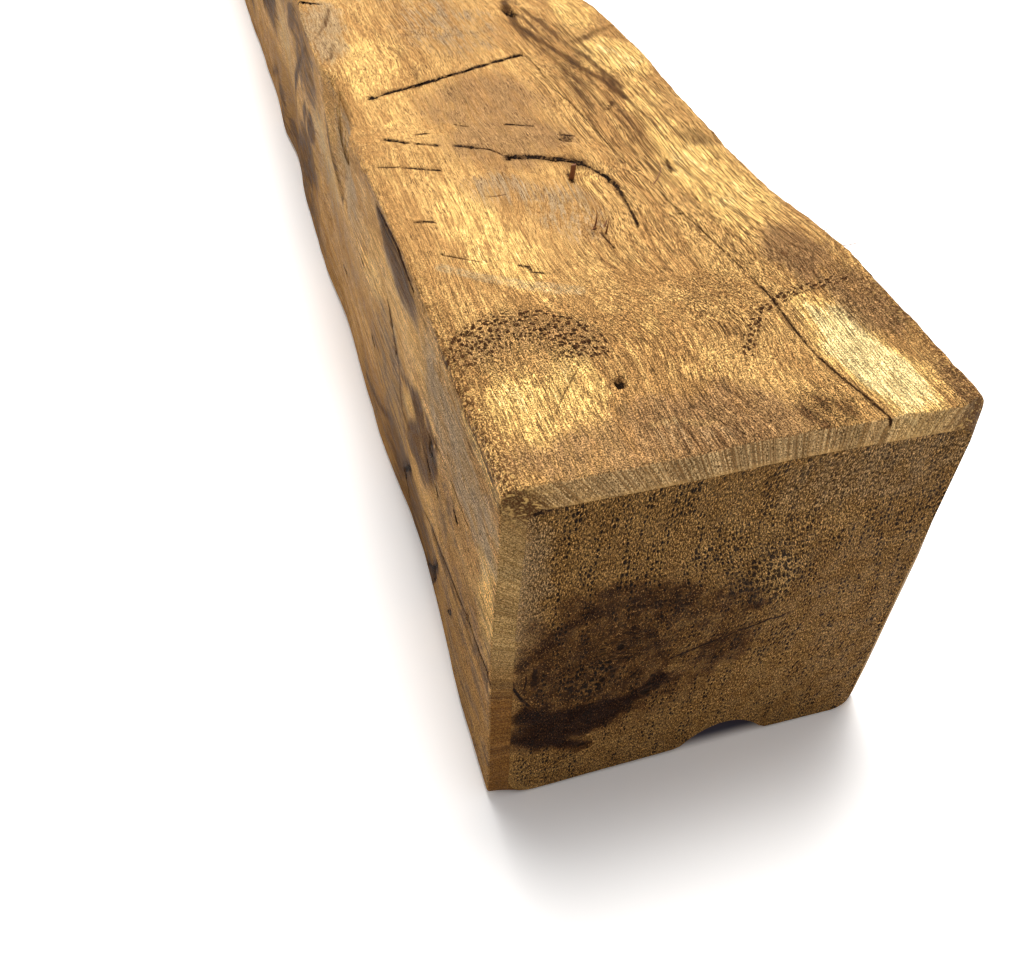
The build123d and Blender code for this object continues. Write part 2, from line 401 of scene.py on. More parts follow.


# Grooves and dark lines: width, depth, darkness and route of each; the darkness is partly stain and
# partly painted shade in the grooves
CUTS = {
    Side.TOP: (
        # The axe scores
        (3.0, 1.6, 1.0, ((326, 22), (330, 43), (333, 60), (337, 79), (343, 93), (349, 107),
                         (354, 119))),
        (3.4, 1.4, 1.0, ((267, 19), (263, 23), (258, 28))),
        (2.4, 1.2, 1.0, ((254, 33), (249, 41))),
        (2.2, 1.2, 1.0, ((246, 50), (242, 59))),
        (1.2, 0.5, 0.75, ((242, 59), (238, 66), (229, 73))),
        (4.2, 1.8, 1.0, ((229, 73), (226, 85), (220, 95), (215, 105))),
        (3.0, 1.6, 1.0, ((215, 105), (207, 109), (197, 113), (183, 114))),
        (1.3, 0.8, 0.9, ((183, 114), (164, 112), (149, 110))),
        (3.2, 1.2, 1.0, ((473, 3), (466, 15))),
        # The long check and the fine splits of the top
        (1.2, 1.0, 0.86, ((4, 149), (20, 147), (30, 145), (45, 142.5), (60, 142), (83, 143),
                         (95, 142))),
        (1.0, 0.6, 0.72, ((95, 142), (110, 139), (117, 137.5), (142, 136), (167, 133),
                         (188, 133))),
        (0.8, 0.4, 0.6, ((188, 133), (200, 130), (222, 127.5), (250, 126), (283, 124),
                         (302, 121), (329, 122), (352, 121))),
        (0.6, 0.2, 0.4, ((7, 94), (22, 85))),
        (0.6, 0.2, 0.4, ((8, 106), (30, 98))),
        (0.7, 0.3, 0.5, ((38, 33), (50, 41), (60, 49))),
        (2.0, 0.5, 0.7, ((199, 148), (213, 152))),
        (0.9, 0.3, 0.8, ((134, 93), (150, 92))),
        (1.5, 0.4, 0.8, ((197, 96), (205, 96))),
        # Ticks of the axe on the top
        (0.9, 0.5, 0.7, ((146, 19), (143, 25), (139, 33))),
        (1.6, 0.6, 0.85, ((176, 14), (175, 22))),
        (1.2, 0.5, 0.8, ((230, 8), (229, 18))),
        (1.8, 1.0, 0.9, ((228, 20), (225, 28), (223, 37))),
        (1.5, 0.4, 0.9, ((127, 53), (125, 57))),
        (1.3, 0.4, 0.8, ((133, 49), (131, 53))),
        (1.8, 0.6, 0.9, ((270, 36), (268, 42))),
        (1.5, 0.7, 0.9, ((263, 82), (260, 89), (258, 95))),
        (1.7, 0.5, 0.9, ((245, 106), (242, 112))),
        (1.3, 0.4, 0.8, ((238, 104), (236, 109))),
        (0.9, 0.3, 0.5, ((195, 52), (195, 62))),
        (1.2, 0.4, 0.6, ((275, 57), (268, 62))),
        (1.6, 0.4, 0.6, ((271, 143), (282, 149))),
    ),
    Side.FRONT: (
        # The front's check, black streaks, slits and spots
        (1.7, 1.6, 1.0, ((37, 90), (20, 91.5), (6, 93.5))),
        (1.2, 0.8, 0.9, ((118, 74), (102, 79), (84, 82), (65, 85), (37, 90))),
        (0.8, 0.3, 0.7, ((44, 139), (70, 138.5), (96, 136.5))),
        (3.0, 0.8, 1.0, ((64, 127.5), (58, 126.5))),
        (3.2, 0.8, 1.0, ((75, 50), (70, 53), (67, 57))),
        (2.4, 0.6, 1.0, ((106, 131), (102, 129))),
        (2.4, 0.6, 1.0, ((106, 125), (102, 123))),
        (2.2, 0.6, 1.0, ((95, 112), (91, 110))),
        (2.2, 0.6, 1.0, ((112, 113), (107, 111))),
        (1.3, 0.4, 0.8, ((195, 145), (188, 140))),
        (1.3, 0.4, 0.8, ((184, 136), (177, 128))),
        (2.6, 0.8, 1.0, ((143, 7), (126, 23), (108, 42), (94, 61))),
        (1.6, 0.6, 0.9, ((129, 6), (118, 21), (103, 42))),
        (3.6, 1.2, 1.0, ((151, 73), (172, 53), (192, 34))),
        (1.8, 0.8, 1.0, ((190, 35), (188, 14))),
        (1.6, 0.6, 0.8, ((133, 190), (165, 193), (202, 191))),
        (2.6, 0.6, 0.9, ((336, 77), (355, 73))),
        (3.0, 0.6, 0.9, ((262, 131), (256, 129))),
        (3.0, 0.6, 0.9, ((244, 92), (238, 90))),
    ),
    Side.END: (
        # The sawn end
        (1.2, 1.0, 1.0, ((8.4, 91.2), (9.6, 85), (12.5, 78), (17, 70))),
        (2.6, 1.0, 0.9, ((18, 97), (17.5, 90), (18, 83))),
        (1.1, 1.0, 1.0, ((78, 80.7), (93, 85), (107, 89), (120, 91.7), (131, 93.6))),
        (2.0, 0.6, 0.9, ((12.7, 184.7), (19.3, 186.3))),
    ),
}

PITS = (
    Pit(Side.TOP, 48.5, 62, 6.5, 4.2, 3.5),
    Pit(Side.TOP, 428, 133.5, 20.0, 8.4, 8.0),
    Pit(Side.END, 86.7, 32.7, 4.6, 5.4, 3.5),
    Pit(Side.END, 54, 97, 4.6, 4.6, 0.8),
    Pit(Side.END, 53, 82, 4.0, 4.6, 0.6),
    Pit(Side.END, 48, 77, 3.4, 4.0, 0.6),
    Pit(Side.END, 70, 60, 6.0, 6.0, 0.8),
    Pit(Side.END, 43, 29, 5.4, 4.4, 0.8),
)

CRESCENTS = (
    Crescent(70, 34, 30.0, -82, 100, 20.0, 2.6),
    Crescent(25, 175, 65.0, -68, 6, 3.4, 2.6),
)

# Soft ovals: place, across, length, width, strength and turn of each
PATCHES = {
    (Side.TOP, Tone.TORN): (
        (78, 34, 50, 60, 0.55), (74, 179, 46, 26, 0.7), (16, 131, 30, 30, 0.8),
        (18, 184, 30, 14, 0.7), (228, 26, 30, 34, 0.4), (380, 172, 24, 36, 0.5, 60),
    ),
    (Side.TOP, Tone.COMB): (
        (86, 121, 54, 38, 1.0, -8), (22, 96, 60, 34, 0.5, -20), (118, 95, 90, 50, 0.45),
        (54, 128, 40, 22, 0.5), (410, 70, 120, 60, 0.4), (230, 156, 400, 90, 0.8),
        (165, 115, 130, 50, 0.6), (75, 85, 60, 50, 0.35), (10, 78, 18, 26, 0.8),
    ),
    (Side.TOP, Tone.PALE): (
        # The first, strongest patch also takes the painted highlight of the glint colour
        (38, 162, 80, 28, 1.8, -2), (46, 24, 46, 26, 0.8), (55, 46, 46, 22, 0.82, 6),
        (140, 45, 62, 34, 0.75, -6), (172, 40, 70, 28, 0.7), (195, 164, 120, 46, 0.85),
        (152, 150, 60, 18, 0.6, -2), (196, 103, 44, 10, 0.5), (371, 28, 92, 46, 0.5, 4),
        (340, 172, 58, 40, 1.0), (420, 174, 60, 30, 0.7), (293, 27, 13, 6, 1.0),
        (310, 28, 6, 4, 1.0), (270, 165, 110, 22, 0.55, 6), (60, 88, 50, 30, 0.35, -20),
    ),
    (Side.TOP, Tone.MAUVE): (
        (14, 88, 44, 70, 0.95, 8), (14, 38, 28, 56, 0.8), (80, 34, 40, 56, 0.38),
        (113, 170, 46, 28, 1.0), (74, 179, 50, 26, 0.9), (246, 78, 64, 66, 0.8),
        (296, 80, 80, 70, 0.75), (410, 88, 120, 70, 0.45), (199, 60, 40, 34, 0.5),
        (172, 85, 60, 34, 0.4), (16, 186, 30, 12, 0.7),
    ),
    (Side.TOP, Tone.DARK): (
        (12, 128, 26, 26, 0.55), (345, 143, 150, 22, 0.5, 8), (235, 178, 24, 22, 0.6),
        (318, 176, 10, 26, 0.35, 70), (212, 104, 22, 16, 0.5), (113, 170, 44, 24, 0.38),
        (18, 186, 30, 12, 0.4), (560, 150, 200, 26, 0.4),
    ),
    (Side.TOP, Tone.GREY): (
        (12, 78, 20, 30, 0.2), (175, 85, 56, 30, 0.5), (200, 60, 40, 30, 0.5),
        (418, 12, 110, 26, 0.9, 4), (416, 88, 110, 60, 0.45), (520, 60, 120, 80, 0.4),
    ),
    (Side.FRONT, Tone.GREY): (
        (62, 162, 130, 44, 0.85, 4), (190, 100, 60, 90, 0.6), (167, 180, 66, 26, 0.9, 4),
        (300, 166, 78, 48, 1.0), (395, 128, 116, 66, 0.6), (611, 121, 150, 82, 0.5, -12),
    ),
    (Side.FRONT, Tone.MAUVE): (
        (62, 162, 130, 44, 0.35, 4), (330, 104, 240, 40, 0.5), (700, 50, 160, 70, 0.6),
    ),
    (Side.FRONT, Tone.PALE): (
        (13, 132, 26, 66, 0.75), (28, 189, 64, 18, 0.55), (153, 114, 24, 18, 0.7, -20),
        (232, 134, 60, 26, 0.4), (395, 128, 100, 56, 0.6), (611, 121, 150, 82, 0.55, -12),
        (900, 120, 160, 70, 0.5),
    ),
    (Side.FRONT, Tone.COMB): (
        (28, 188, 70, 22, 0.9), (70, 160, 120, 40, 0.4),
    ),
    (Side.FRONT, Tone.DARK): (
        (50, 112, 110, 44, 0.5), (110, 120, 34, 30, 1.15), (130, 126, 30, 20, 1.15, -24),
        (126, 105, 64, 26, 0.95, -16), (42, 38, 120, 90, 0.5), (170, 38, 150, 90, 0.85),
        # (167, 184): painted shade on the facet under the front arris
        (250, 30, 150, 44, 0.55), (167, 184, 76, 26, 1.1, 4), (190, 100, 120, 76, 0.5),
        (472, 112, 40, 22, 0.95, -30), (457, 167, 130, 60, 0.85, -10),
        (518, 173, 56, 20, 0.95, -24), (540, 60, 180, 54, 0.95, -22),
        (740, 111, 120, 40, 1.0, -10), (600, 20, 300, 40, 0.7), (620, 176, 200, 40, 0.6, -4),
        (725, 28, 44, 56, 0.8), (1010, 60, 160, 50, 0.7, 8),
    ),
    (Side.END, Tone.DARK): (
        (56, 84, 112, 106, 0.36, 8), (46, 86, 80, 74, 0.72, 10), (38, 50, 60, 26, 1.3, 6),
        (22, 50, 30, 34, 0.75), (60, 124, 70, 26, 0.74, -14), (96, 108, 44, 34, 0.5),
        (104, 80, 32, 26, 0.72), (84, 62, 36, 16, 0.6, 14), (114.5, 104.7, 12, 6, 0.9),
        (18, 100, 18, 60, 0.5),
    ),
    (Side.END, Tone.PALE): (
        (119, 122, 20, 26, 0.8), (50, 74, 34, 22, 0.4), (110, 152, 110, 40, 0.25),
    ),
    (Side.END, Tone.COMB): (
        (42, 79, 30, 34, 1.0), (74, 106, 60, 44, 0.7), (114, 122, 44, 56, 0.9),
        (96, 92, 40, 30, 0.7),
    ),
    (Side.END, Tone.GREY): (
        (14, 140, 14, 110, 0.7), (150, 172, 90, 34, 0.4),
    ),
}

# Soft bands: width, strength and route of each
BANDS = {
    (Side.TOP, Tone.SCRATCH): (
        (3.6, 1.1, ((137, 16), (127, 32), (118, 47), (107, 67))),
    ),
    (Side.TOP, Tone.PALE): (
        (1.3, 0.9, ((22, 66), (22, 74), (20, 83))),
    ),
    (Side.TOP, Tone.DARK): (
        (3.2, 1.2, ((450, 136), (402, 130), (367, 138), (333, 145), (310, 154), (288, 157))),
        (2.0, 1.0, ((430, 143), (370, 150), (300, 162))),
        (1.8, 0.9, ((420, 124), (350, 134), (280, 142), (220, 146))),
        (1.6, 0.7, ((400, 156), (340, 161), (270, 172))),
        (1.4, 0.6, ((260, 150), (180, 158), (110, 163))),
        (1.5, 1.0, ((420, 138), (350, 143), (280, 148), (200, 150))),
        (1.2, 0.9, ((410, 148), (340, 155), (250, 162))),
        (1.0, 0.8, ((300, 135), (220, 138), (130, 147))),
        (0.9, 0.7, ((240, 141), (160, 146), (90, 152))),
        (5.0, 0.6, ((440, 140), (520, 143), (640, 140))),
        (4.0, 0.8, ((366, 156), (378, 172), (389, 191))),
        (2.0, 0.6, ((330, 50), (348, 53), (366, 49), (385, 46))),
        (1.6, 0.7, ((365, 2), (380, 10), (400, 14))),
        (1.6, 0.7, ((410, 4), (430, 14), (455, 20))),
    ),
    (Side.FRONT, Tone.DARK): (
        (1.6, 1.5, ((6, 93), (2.6, 92), (-1, 89))),
        # Painted shadow under the front's check
        (5.0, 0.95, ((6, 88), (30, 87), (50, 85), (72, 83), (100, 79))),
        (2.4, 0.8, ((0, 80), (30, 80), (60, 78), (110, 74))),
        (1.6, 1.1, ((95, 136), (114, 136), (132, 134), (150, 127), (166, 121))),
        (2.2, 1.2, ((121, 134), (127, 122), (138, 112), (151, 101))),
        (2.2, 1.0, ((150, 98), (164, 101), (171, 110), (170, 122), (180, 130), (188, 140),
                    (196, 146))),
        (2.0, 0.7, ((96, 60), (120, 62), (150, 78), (160, 94))),
        (3.4, 1.5, ((94, 61), (118, 30), (140, 8))),
        (3.6, 1.6, ((150, 74), (172, 53), (194, 32))),
        (2.6, 1.4, ((134, 192), (165, 194), (202, 192))),
        (4.0, 1.1, ((208, 60), (240, 40), (300, 22))),
        (4.0, 0.9, ((364, 168), (352, 152), (338, 143), (321, 137))),
        (6.0, 1.0, ((484, 125), (520, 98), (556, 66), (590, 37))),
        (6.0, 0.7, ((440, 172), (470, 152), (500, 136))),
        (4.0, 0.6, ((400, 192), (450, 182), (520, 150))),
        (4.0, 0.6, ((245, 90), (210, 62), (205, 30))),
        (4.0, 1.2, ((741, 55), (780, 38), (823, 21))),
        (5.0, 1.25, ((430, 184), (480, 162), (540, 122), (600, 76))),
        (4.0, 1.3, ((462, 126), (500, 92), (545, 52))),
        (8.0, 1.3, ((680, 136), (740, 112), (810, 96))),
        (5.0, 1.1, ((620, 180), (700, 160), (790, 152))),
    ),
    (Side.END, Tone.DARK): (
        (7.0, 0.95, ((12, 98), (28, 116), (42, 127), (60, 124), (78, 116))),
        (2.6, 0.85, ((34, 88), (40, 106), (54, 112), (66, 104), (72, 92))),
        (2.2, 0.75, ((26, 84), (32, 106), (50, 119), (70, 112), (80, 96))),
        (6.5, 1.6, ((12, 66), (20, 60), (30, 56), (45, 55), (60, 57), (70, 62), (75, 70))),
        (4.0, 1.5, ((11, 48), (20, 40), (30, 36), (43, 29))),
        (5.0, 0.85, ((68, 62), (71, 78), (74, 90))),
        (3.6, 0.9, ((36, 96), (26, 88), (21, 76), (24, 64))),
    ),
}

DRIFTS = (
    Drift(Side.TOP, 95, 84, 130, 80, 0.30),
    Drift(Side.TOP, 88, 122, 60, 44, 0.45),
    Drift(Side.TOP, 20, 100, 60, 70, 0.35),
    Drift(Side.TOP, 205, 112, 40, 30, -0.25),
    Drift(Side.TOP, 340, 145, 160, 40, 0.12),
    Drift(Side.FRONT, 130, 120, 90, 50, -0.25),
    Drift(Side.FRONT, 560, 80, 260, 120, -0.2),
)


def marks_of(table: dict, side: Side, kind: type) -> list:
    """The (tone, mark) pairs of one face in a table, each mark of the kind."""
    return [(tone, kind(*row)) for (face, tone), rows in table.items() if face is side
            for row in rows]


def oval_radius(spots: np.ndarray, mark: Pit | Drift) -> np.ndarray:
    """Distances of spots from an oval's middle, 1 on its rim: x and y over its half axes."""
    away = spots - np.array([mark.place, mark.across])
    return np.hypot(2 * away[..., 0] / mark.length, 2 * away[..., 1] / mark.width)


def oval_share(spots: np.ndarray, patch: Patch) -> np.ndarray:
    """A patch's share at spots: 1 inside and falling to 0 at the rim of its turned oval.

    Args:
        spots: Spots on the face, shaped (..., 2).
        patch: The patch.

    Returns:
        Shares from 0 to 1, shaped (...).
    """
    angle = math.radians(patch.turn)
    away = spots - np.array([patch.place, patch.across])
    along = away[..., 0] * math.cos(angle) + away[..., 1] * math.sin(angle)
    over = away[..., 1] * math.cos(angle) - away[..., 0] * math.sin(angle)
    radius = np.hypot(2 * along / patch.length, 2 * over / patch.width)
    return soft_step(1.45 - radius, 0.0, 0.9)


def half_width(cut: Cut, spots: np.ndarray) -> np.ndarray:
    """Half of a cut's mouth at spots: ragged, by smooth noise of about four millimetres."""
    solid = np.concatenate([spots, np.full(spots.shape[:-1] + (1,), 3.0 * cut.width)], axis=-1)
    return cut.width / 2 * (0.85 + 0.5 * lattice_noise(solid, (3.6, 3.6, 1.0), 61))


@dataclass
class HewnBeam:
    """The timber: one closed surface of rings along the beam, with a polar cap on each sawn end."""

    form: HewnForm
    columns: dict = field(default_factory=lambda: {
        "under": 24, "foot": 6, "front": 62, "brow": 7,
        "top": 108, "crest": 6, "back": 9, "heel": 4,
    })
    ease_lengths: dict = field(default_factory=lambda: {
        "under": 10.0, "foot": 4.0, "front": 2.3, "brow": 4.0,
        "top": 5.0, "crest": 10.0, "back": 5.0, "heel": 5.0,
    })
    settled: float = 20.0
    far_cap_rings: int = 8
    cap_middle: tuple = (100.0, 92.0)
    knot_middle: tuple = (54.0, 98.0)
    knot_radius: float = 8.0

    def places(self) -> np.ndarray:
        """Distances of the rings from the near end, closest together at the marked near end.

        Returns:
            The rings' places before the easing draws them.
        """
        return np.concatenate([
            [0.0, 0.3, 0.9, 1.7, 2.6, 3.5, 4.3, 4.75, 5.0, 5.3, 5.8, 6.5, 7.3],
            np.arange(8.2, 120.0, 1.15),
            np.arange(120.5, 360.0, 1.8),
            np.arange(361.0, 560.0, 3.4),
            np.arange(563.0, LENGTH - 8.0, 15.0),
            LENGTH - np.array([7.0, 5.4, 5.0, 4.5, 3.0, 1.6, 0.6, 0.0]),
        ])

    def parts(self) -> dict:
        """The slice of columns of each stretch of the ring.

        Returns:
            The slices by the stretches' names.
        """
        slices, start = {}, 0
        for name, count in self.columns.items():
            slices[name] = slice(start, start + count)
            start += count
        return slices

    def warped(self, nominal: np.ndarray) -> np.ndarray:
        """Places of the grid's points, drawn so that the easing is as long as each side's own.

        Nominal places up to 5 mm from an end shrink in proportion to the local easing's length,
        which wavers by noise round the ring. The rest catches up by the settled
        distance from the end.

        Args:
            nominal: The rings' places, shaped (rows, 1).

        Returns:
            Places shaped (rows, columns).
        """
        lengths = np.concatenate([
            np.full(count, self.ease_lengths[name]) for name, count in self.columns.items()])
        ring = np.concatenate([lengths[-4:], lengths, lengths[:4]])
        lengths = np.convolve(ring, np.ones(9) / 9, mode="valid")
        spots = np.linspace(0.0, 780.0, len(lengths), endpoint=False)
        spots = np.stack([spots, np.zeros_like(spots), np.zeros_like(spots)], axis=-1)
        lengths = lengths * (1.0 + 0.12 * lattice_noise(spots, (26.0, 1.0, 1.0), 5)
                             + 0.06 * lattice_noise(spots, (6.0, 1.0, 1.0), 6))
        full, settled = self.form.ease_length, self.settled
        inward = np.minimum(nominal, LENGTH - nominal)
        drawn = np.where(inward <= full, inward * lengths / full,
                         lengths + (inward - full) * (settled - lengths) / (settled - full))
        drawn = np.where(inward < settled, drawn, inward)
        return np.where(nominal < LENGTH / 2, drawn, LENGTH - drawn)

    def eased(self, nominal: np.ndarray) -> np.ndarray:
        """How far the easing has drawn the section in: a straight fall with a crisp rounding."""
        share = 1.0 - np.minimum(nominal, LENGTH - nominal) / self.form.ease_length
        return 0.5 * (share + np.sqrt(share**2 + 0.05**2))

    def snapped(self, spots: np.ndarray, side: Side) -> tuple:
        """Grid spots of a face drawn onto its cuts, and how deep each then lies.

        The spot nearest to a cut on each line of the grid moves onto its middle, and its two
        neighbours move to the cut's lips, so that every cut is a true V of its own width.

        Args:
            spots: The grid's (place, across), shaped (rows, columns, 2).
            side: The face.

        Returns:
            The moved spots and their depths in the cuts.
        """
        pitch_along = np.abs(np.gradient(spots[..., 0], axis=0))
        pitch_over = np.abs(np.gradient(spots[..., 1], axis=1))
        depth = np.zeros(spots.shape[:-1])
        for cut in (Cut(*row) for row in CUTS[side]):
            signed, past, normal = offset_from_route(spots, cut.route)
            pitch = np.abs(normal[..., 0]) * pitch_along + np.abs(normal[..., 1]) * pitch_over
            half = half_width(cut, spots)
            reach = np.abs(signed)
            within = past < 0.5 * pitch
            middle = within & (reach < 0.5 * pitch)
            lip = within & ~middle & (reach < 1.5 * pitch) & (half < 1.5 * pitch)
            shift = np.where(middle, -signed, np.where(lip, np.sign(signed) * (half - reach), 0.0))
            spots = spots + shift[..., None] * normal
            left = np.abs(signed + shift)
            sunk = cut.depth * np.clip(1.0 - left / half, 0.0, 1.0)
            depth = np.maximum(depth, np.where(within, sunk, 0.0))
        return spots, depth

    def stretch(self, name: str) -> tuple:
        """The slice of a stretch's columns and their even shares from 0 towards 1."""
        shares = np.linspace(0.0, 1.0, self.columns[name], endpoint=False)
        return self.parts()[name], shares[None, :]

    def limits(self, place: np.ndarray, eased: np.ndarray) -> tuple:
        """Where the straight stretches of every ring would meet if its corners were sharp.

        Args:
            place: Distances from the near end, shaped (rows, columns).
            eased: How far the easing has drawn the section in.

        Returns:
            Y of the front foot, front brow and back, then Z of the floor and of the top at the
            front and at the back, each shaped (rows, columns).
        """
        form, parts, count = self.form, self.parts(), self.columns["under"]
        lean = np.full(place.shape[1], 0.4)
        arch = np.sin(np.pi * np.linspace(0.0, 1.0, count))
        lean[parts["under"]] = np.linspace(0.1, 0.4, count) + 0.7 * arch**0.7
        lean[parts["back"]] = lean[parts["heel"]] = 0.1
        return (
            form.front_level(place, 0.0) + form.ease_front * eased,
            form.front_level(place, HEIGHT) + form.ease_front * eased,
            DEPTH / 2 - form.ease_back * eased,
            form.ease_bottom * eased * lean,
            form.top_level(place, 0.0) - form.ease_top * eased,
            form.top_level(place, DEPTH) - form.ease_top * eased,
        )

    def surface(self) -> dict:
        """Fills in the rings, one stretch after another, and takes the scoops out.

        Returns:
            The points, inward directions, easing and depths in the cuts by name, shaped
            (rows, columns) or (rows, columns, 3).
        """
        form = self.form
        nominal = self.places()[:, None]
        place = self.warped(nominal)
        eased = np.repeat(self.eased(nominal), place.shape[1], axis=1)
        y, z, groove = (np.zeros(place.shape) for _ in range(3))
        inward = np.zeros(place.shape + (3,))
        foot, brow, back, floor, front_top, back_top = self.limits(place, eased)
        foot_r, brow_r, crest_r, heel_r = form.radii(place, np.clip(eased, 0.0, 1.0))

        quarter = math.pi / 2
        corners = {
            "foot": (foot + foot_r, floor + foot_r, foot_r, -quarter, -2 * quarter),
            "brow": (brow + brow_r, front_top - brow_r, brow_r, 2 * quarter, quarter),
            "crest": (back - crest_r, back_top - crest_r, crest_r, quarter, 0.0),
            "heel": (back - heel_r, floor + heel_r, heel_r, 0.0, -quarter),
        }
        for name, (centre_y, centre_z, radius, start, stop) in corners.items():
            cols, share = self.stretch(name)
            turn = start + (stop - start) * share
            y[:, cols] = centre_y[:, cols] + radius[:, cols] * np.cos(turn)
            z[:, cols] = centre_z[:, cols] + radius[:, cols] * np.sin(turn)
            inward[:, cols, 1], inward[:, cols, 2] = -np.cos(turn), -np.sin(turn)

        cols, _ = self.stretch("under")
        share = np.concatenate([[0.0, 0.1], np.linspace(0.19, 0.6, 18), [0.68, 0.78, 0.87, 0.94]])
        y[:, cols] = (back - heel_r)[:, cols] + (foot + foot_r - back + heel_r)[:, cols] * share
        z[:, cols] = floor[:, cols] + form.chip(place[:, cols], y[:, cols] + DEPTH / 2)
        inward[:, cols, 2] = 1.0

        cols, share = self.stretch("back")
        y[:, cols] = back[:, cols]
        z[:, cols] = (back_top - crest_r)[:, cols] + (
            floor + heel_r - back_top + crest_r)[:, cols] * share
        inward[:, cols, 1] = -1.0

        cols, share = self.stretch("front")
        low = (floor + foot_r)[:, cols]
        heights = low + ((front_top - brow_r)[:, cols] - low) * share
        spots, groove[:, cols] = self.snapped(
            np.stack([place[:, cols], heights], axis=-1), Side.FRONT)
        place[:, cols], z[:, cols] = spots[..., 0], spots[..., 1]
        y[:, cols] = form.front_level(place[:, cols], z[:, cols]) + (
            form.ease_front * eased[:, cols])
        inward[:, cols, 1] = 1.0

        cols, share = self.stretch("top")
        first = (brow + brow_r)[:, cols]
        over = first + ((back - crest_r)[:, cols] - first) * share + DEPTH / 2
        spots, groove[:, cols] = self.snapped(np.stack([place[:, cols], over], axis=-1), Side.TOP)
        place[:, cols], y[:, cols] = spots[..., 0], spots[..., 1] - DEPTH / 2
        z[:, cols] = form.top_level(place[:, cols], spots[..., 1]) - form.ease_top * eased[:, cols]
        inward[:, cols, 2] = -1.0

        points = form.bitten(np.stack([LENGTH / 2 - place, y, z], axis=-1), inward)
        return {"points": points, "inward": inward, "eased": eased, "groove": groove}

    @staticmethod
    def scales(spots: np.ndarray) -> dict:
        """Coordinates along and out from the torn crescents of the top, and their shares.

        The angle round a crescent's middle times its radius runs along it, the distance less the
        radius runs out from it, and its share falls off on both sides as a bell.

        Args:
            spots: (place, across) of the points, shaped (..., 2).

        Returns:
            The arrays "scale_along", "scale_out" and "scales".
        """
        along, out, share = (np.zeros(spots.shape[:-1]) for _ in range(3))
        for arc in CRESCENTS:
            away = spots - np.array([arc.place, arc.across])
            angle = np.degrees(np.arctan2(away[..., 1], away[..., 0]))
            gap = np.hypot(away[..., 0], away[..., 1]) - arc.radius
            fall = np.exp(-np.where(gap < 0, gap / arc.inner, gap / arc.outer) ** 2)
            fall = fall * soft_step(angle, arc.start - 6, arc.start + 4) * (
                1.0 - soft_step(angle, arc.stop - 4, arc.stop + 6))
            along = np.where(fall > share, np.radians(angle) * arc.radius, along)
            out = np.where(fall > share, gap, out)
            share = np.maximum(share, fall)
        return {"scale_along": along, "scale_out": out, "scales": share}

    def end_flow(self, spots: np.ndarray) -> dict:
        """Coordinates across and along the end's pores.

        The pores stand upright, lean one way in the upper middle and the other at the lower
        right, and part round the knot as a stream parts round a post.

        Args:
            spots: (across, height) on the end, shaped (..., 2).

        Returns:
            The two coordinates in millimetres.
        """
        across, height = spots[..., 0], spots[..., 1]
        left = np.exp(-(((across - 105) / 34) ** 2 + ((height - 135) / 42) ** 2))
        right = np.exp(-(((across - 176) / 30) ** 2 + ((height - 45) / 44) ** 2))
        tilt = 0.42 * left * (height - 135) - 0.40 * right * (height - 45)
        middle, post = self.knot_middle, self.knot_radius
        aside, above = across - middle[0], height - middle[1]
        radius = np.maximum(np.hypot(aside, above), 1.0)
        inside = np.maximum(radius, post)
        flow = middle[0] + aside * (1.0 - (post / inside) ** 2) - np.maximum(post - radius, 0.0)
        run = middle[1] + above * (1.0 + (post / inside) ** 2)
        return {"flow": flow + tilt, "run": run}

    @staticmethod
    def tones(spots: np.ndarray, side: Side) -> dict:
        """Each tone's largest share of patches and bands at spots, with wavering rims.

        Args:
            spots: (place, across) of the points, shaped (..., 2).
            side: The face.

        Returns:
            One array per tone's name.
        """
        solid = np.concatenate([spots, np.zeros(spots.shape[:-1] + (1,))], axis=-1)
        waver = np.stack([
            5.0 * lattice_noise(solid, (17.0, 8.0, 1.0), 31),
            2.6 * lattice_noise(solid, (15.0, 9.0, 1.0), 32),
        ], axis=-1)
        wavy = spots + (0.6 if side is Side.END else 1.0) * waver
        data = {tone.value: np.zeros(spots.shape[:-1]) for tone in Tone}
        for tone, patch in marks_of(PATCHES, side, Patch):
            share = patch.strength * oval_share(wavy, patch)
            data[tone.value] = np.maximum(data[tone.value], share)
        for tone, band in marks_of(BANDS, side, Stroke):
            signed, past, _ = offset_from_route(spots + 0.35 * waver, band.route)
            share = band.strength * np.exp(-((signed / band.width) ** 2 + (past / 3.0) ** 2))
            data[tone.value] = np.maximum(data[tone.value], share)
        return data

    @staticmethod
    def dark_lines(spots: np.ndarray, side: Side) -> dict:
        """Where spots lie against the nearest cut, in half mouths, and how dark it is there.

        Args:
            spots: (place, across) of the points, shaped (..., 2).
            side: The face. On the sawn end the offset keeps its sign.

        Returns:
            The arrays "line" and "stain_and_shade".
        """
        shape = spots.shape[:-1]
        line, stain_and_shade, nearest = np.full(shape, NO_LINE), np.zeros(shape), np.full(shape, np.inf)
        for cut in (Cut(*row) for row in CUTS[side]):
            signed, past, _ = offset_from_route(spots, cut.route)
            gap = np.hypot(signed, past)
            nearer = gap < nearest
            nearest = np.where(nearer, gap, nearest)
            ratio = (signed if side is Side.END else gap) / half_width(cut, spots)
            line = np.where(nearer, np.clip(ratio, -NO_LINE, NO_LINE), line)
            fade = cut.stain_and_shade * (1.0 - soft_step(gap - cut.width / 2, 2.6, 4.6))
            if side is Side.END:
                fade = fade * np.clip(1.0 - past / 1.6, 0.0, 1.0)
            stain_and_shade = np.where(nearer, fade, stain_and_shade)
        return {"line": line, "stain_and_shade": stain_and_shade}

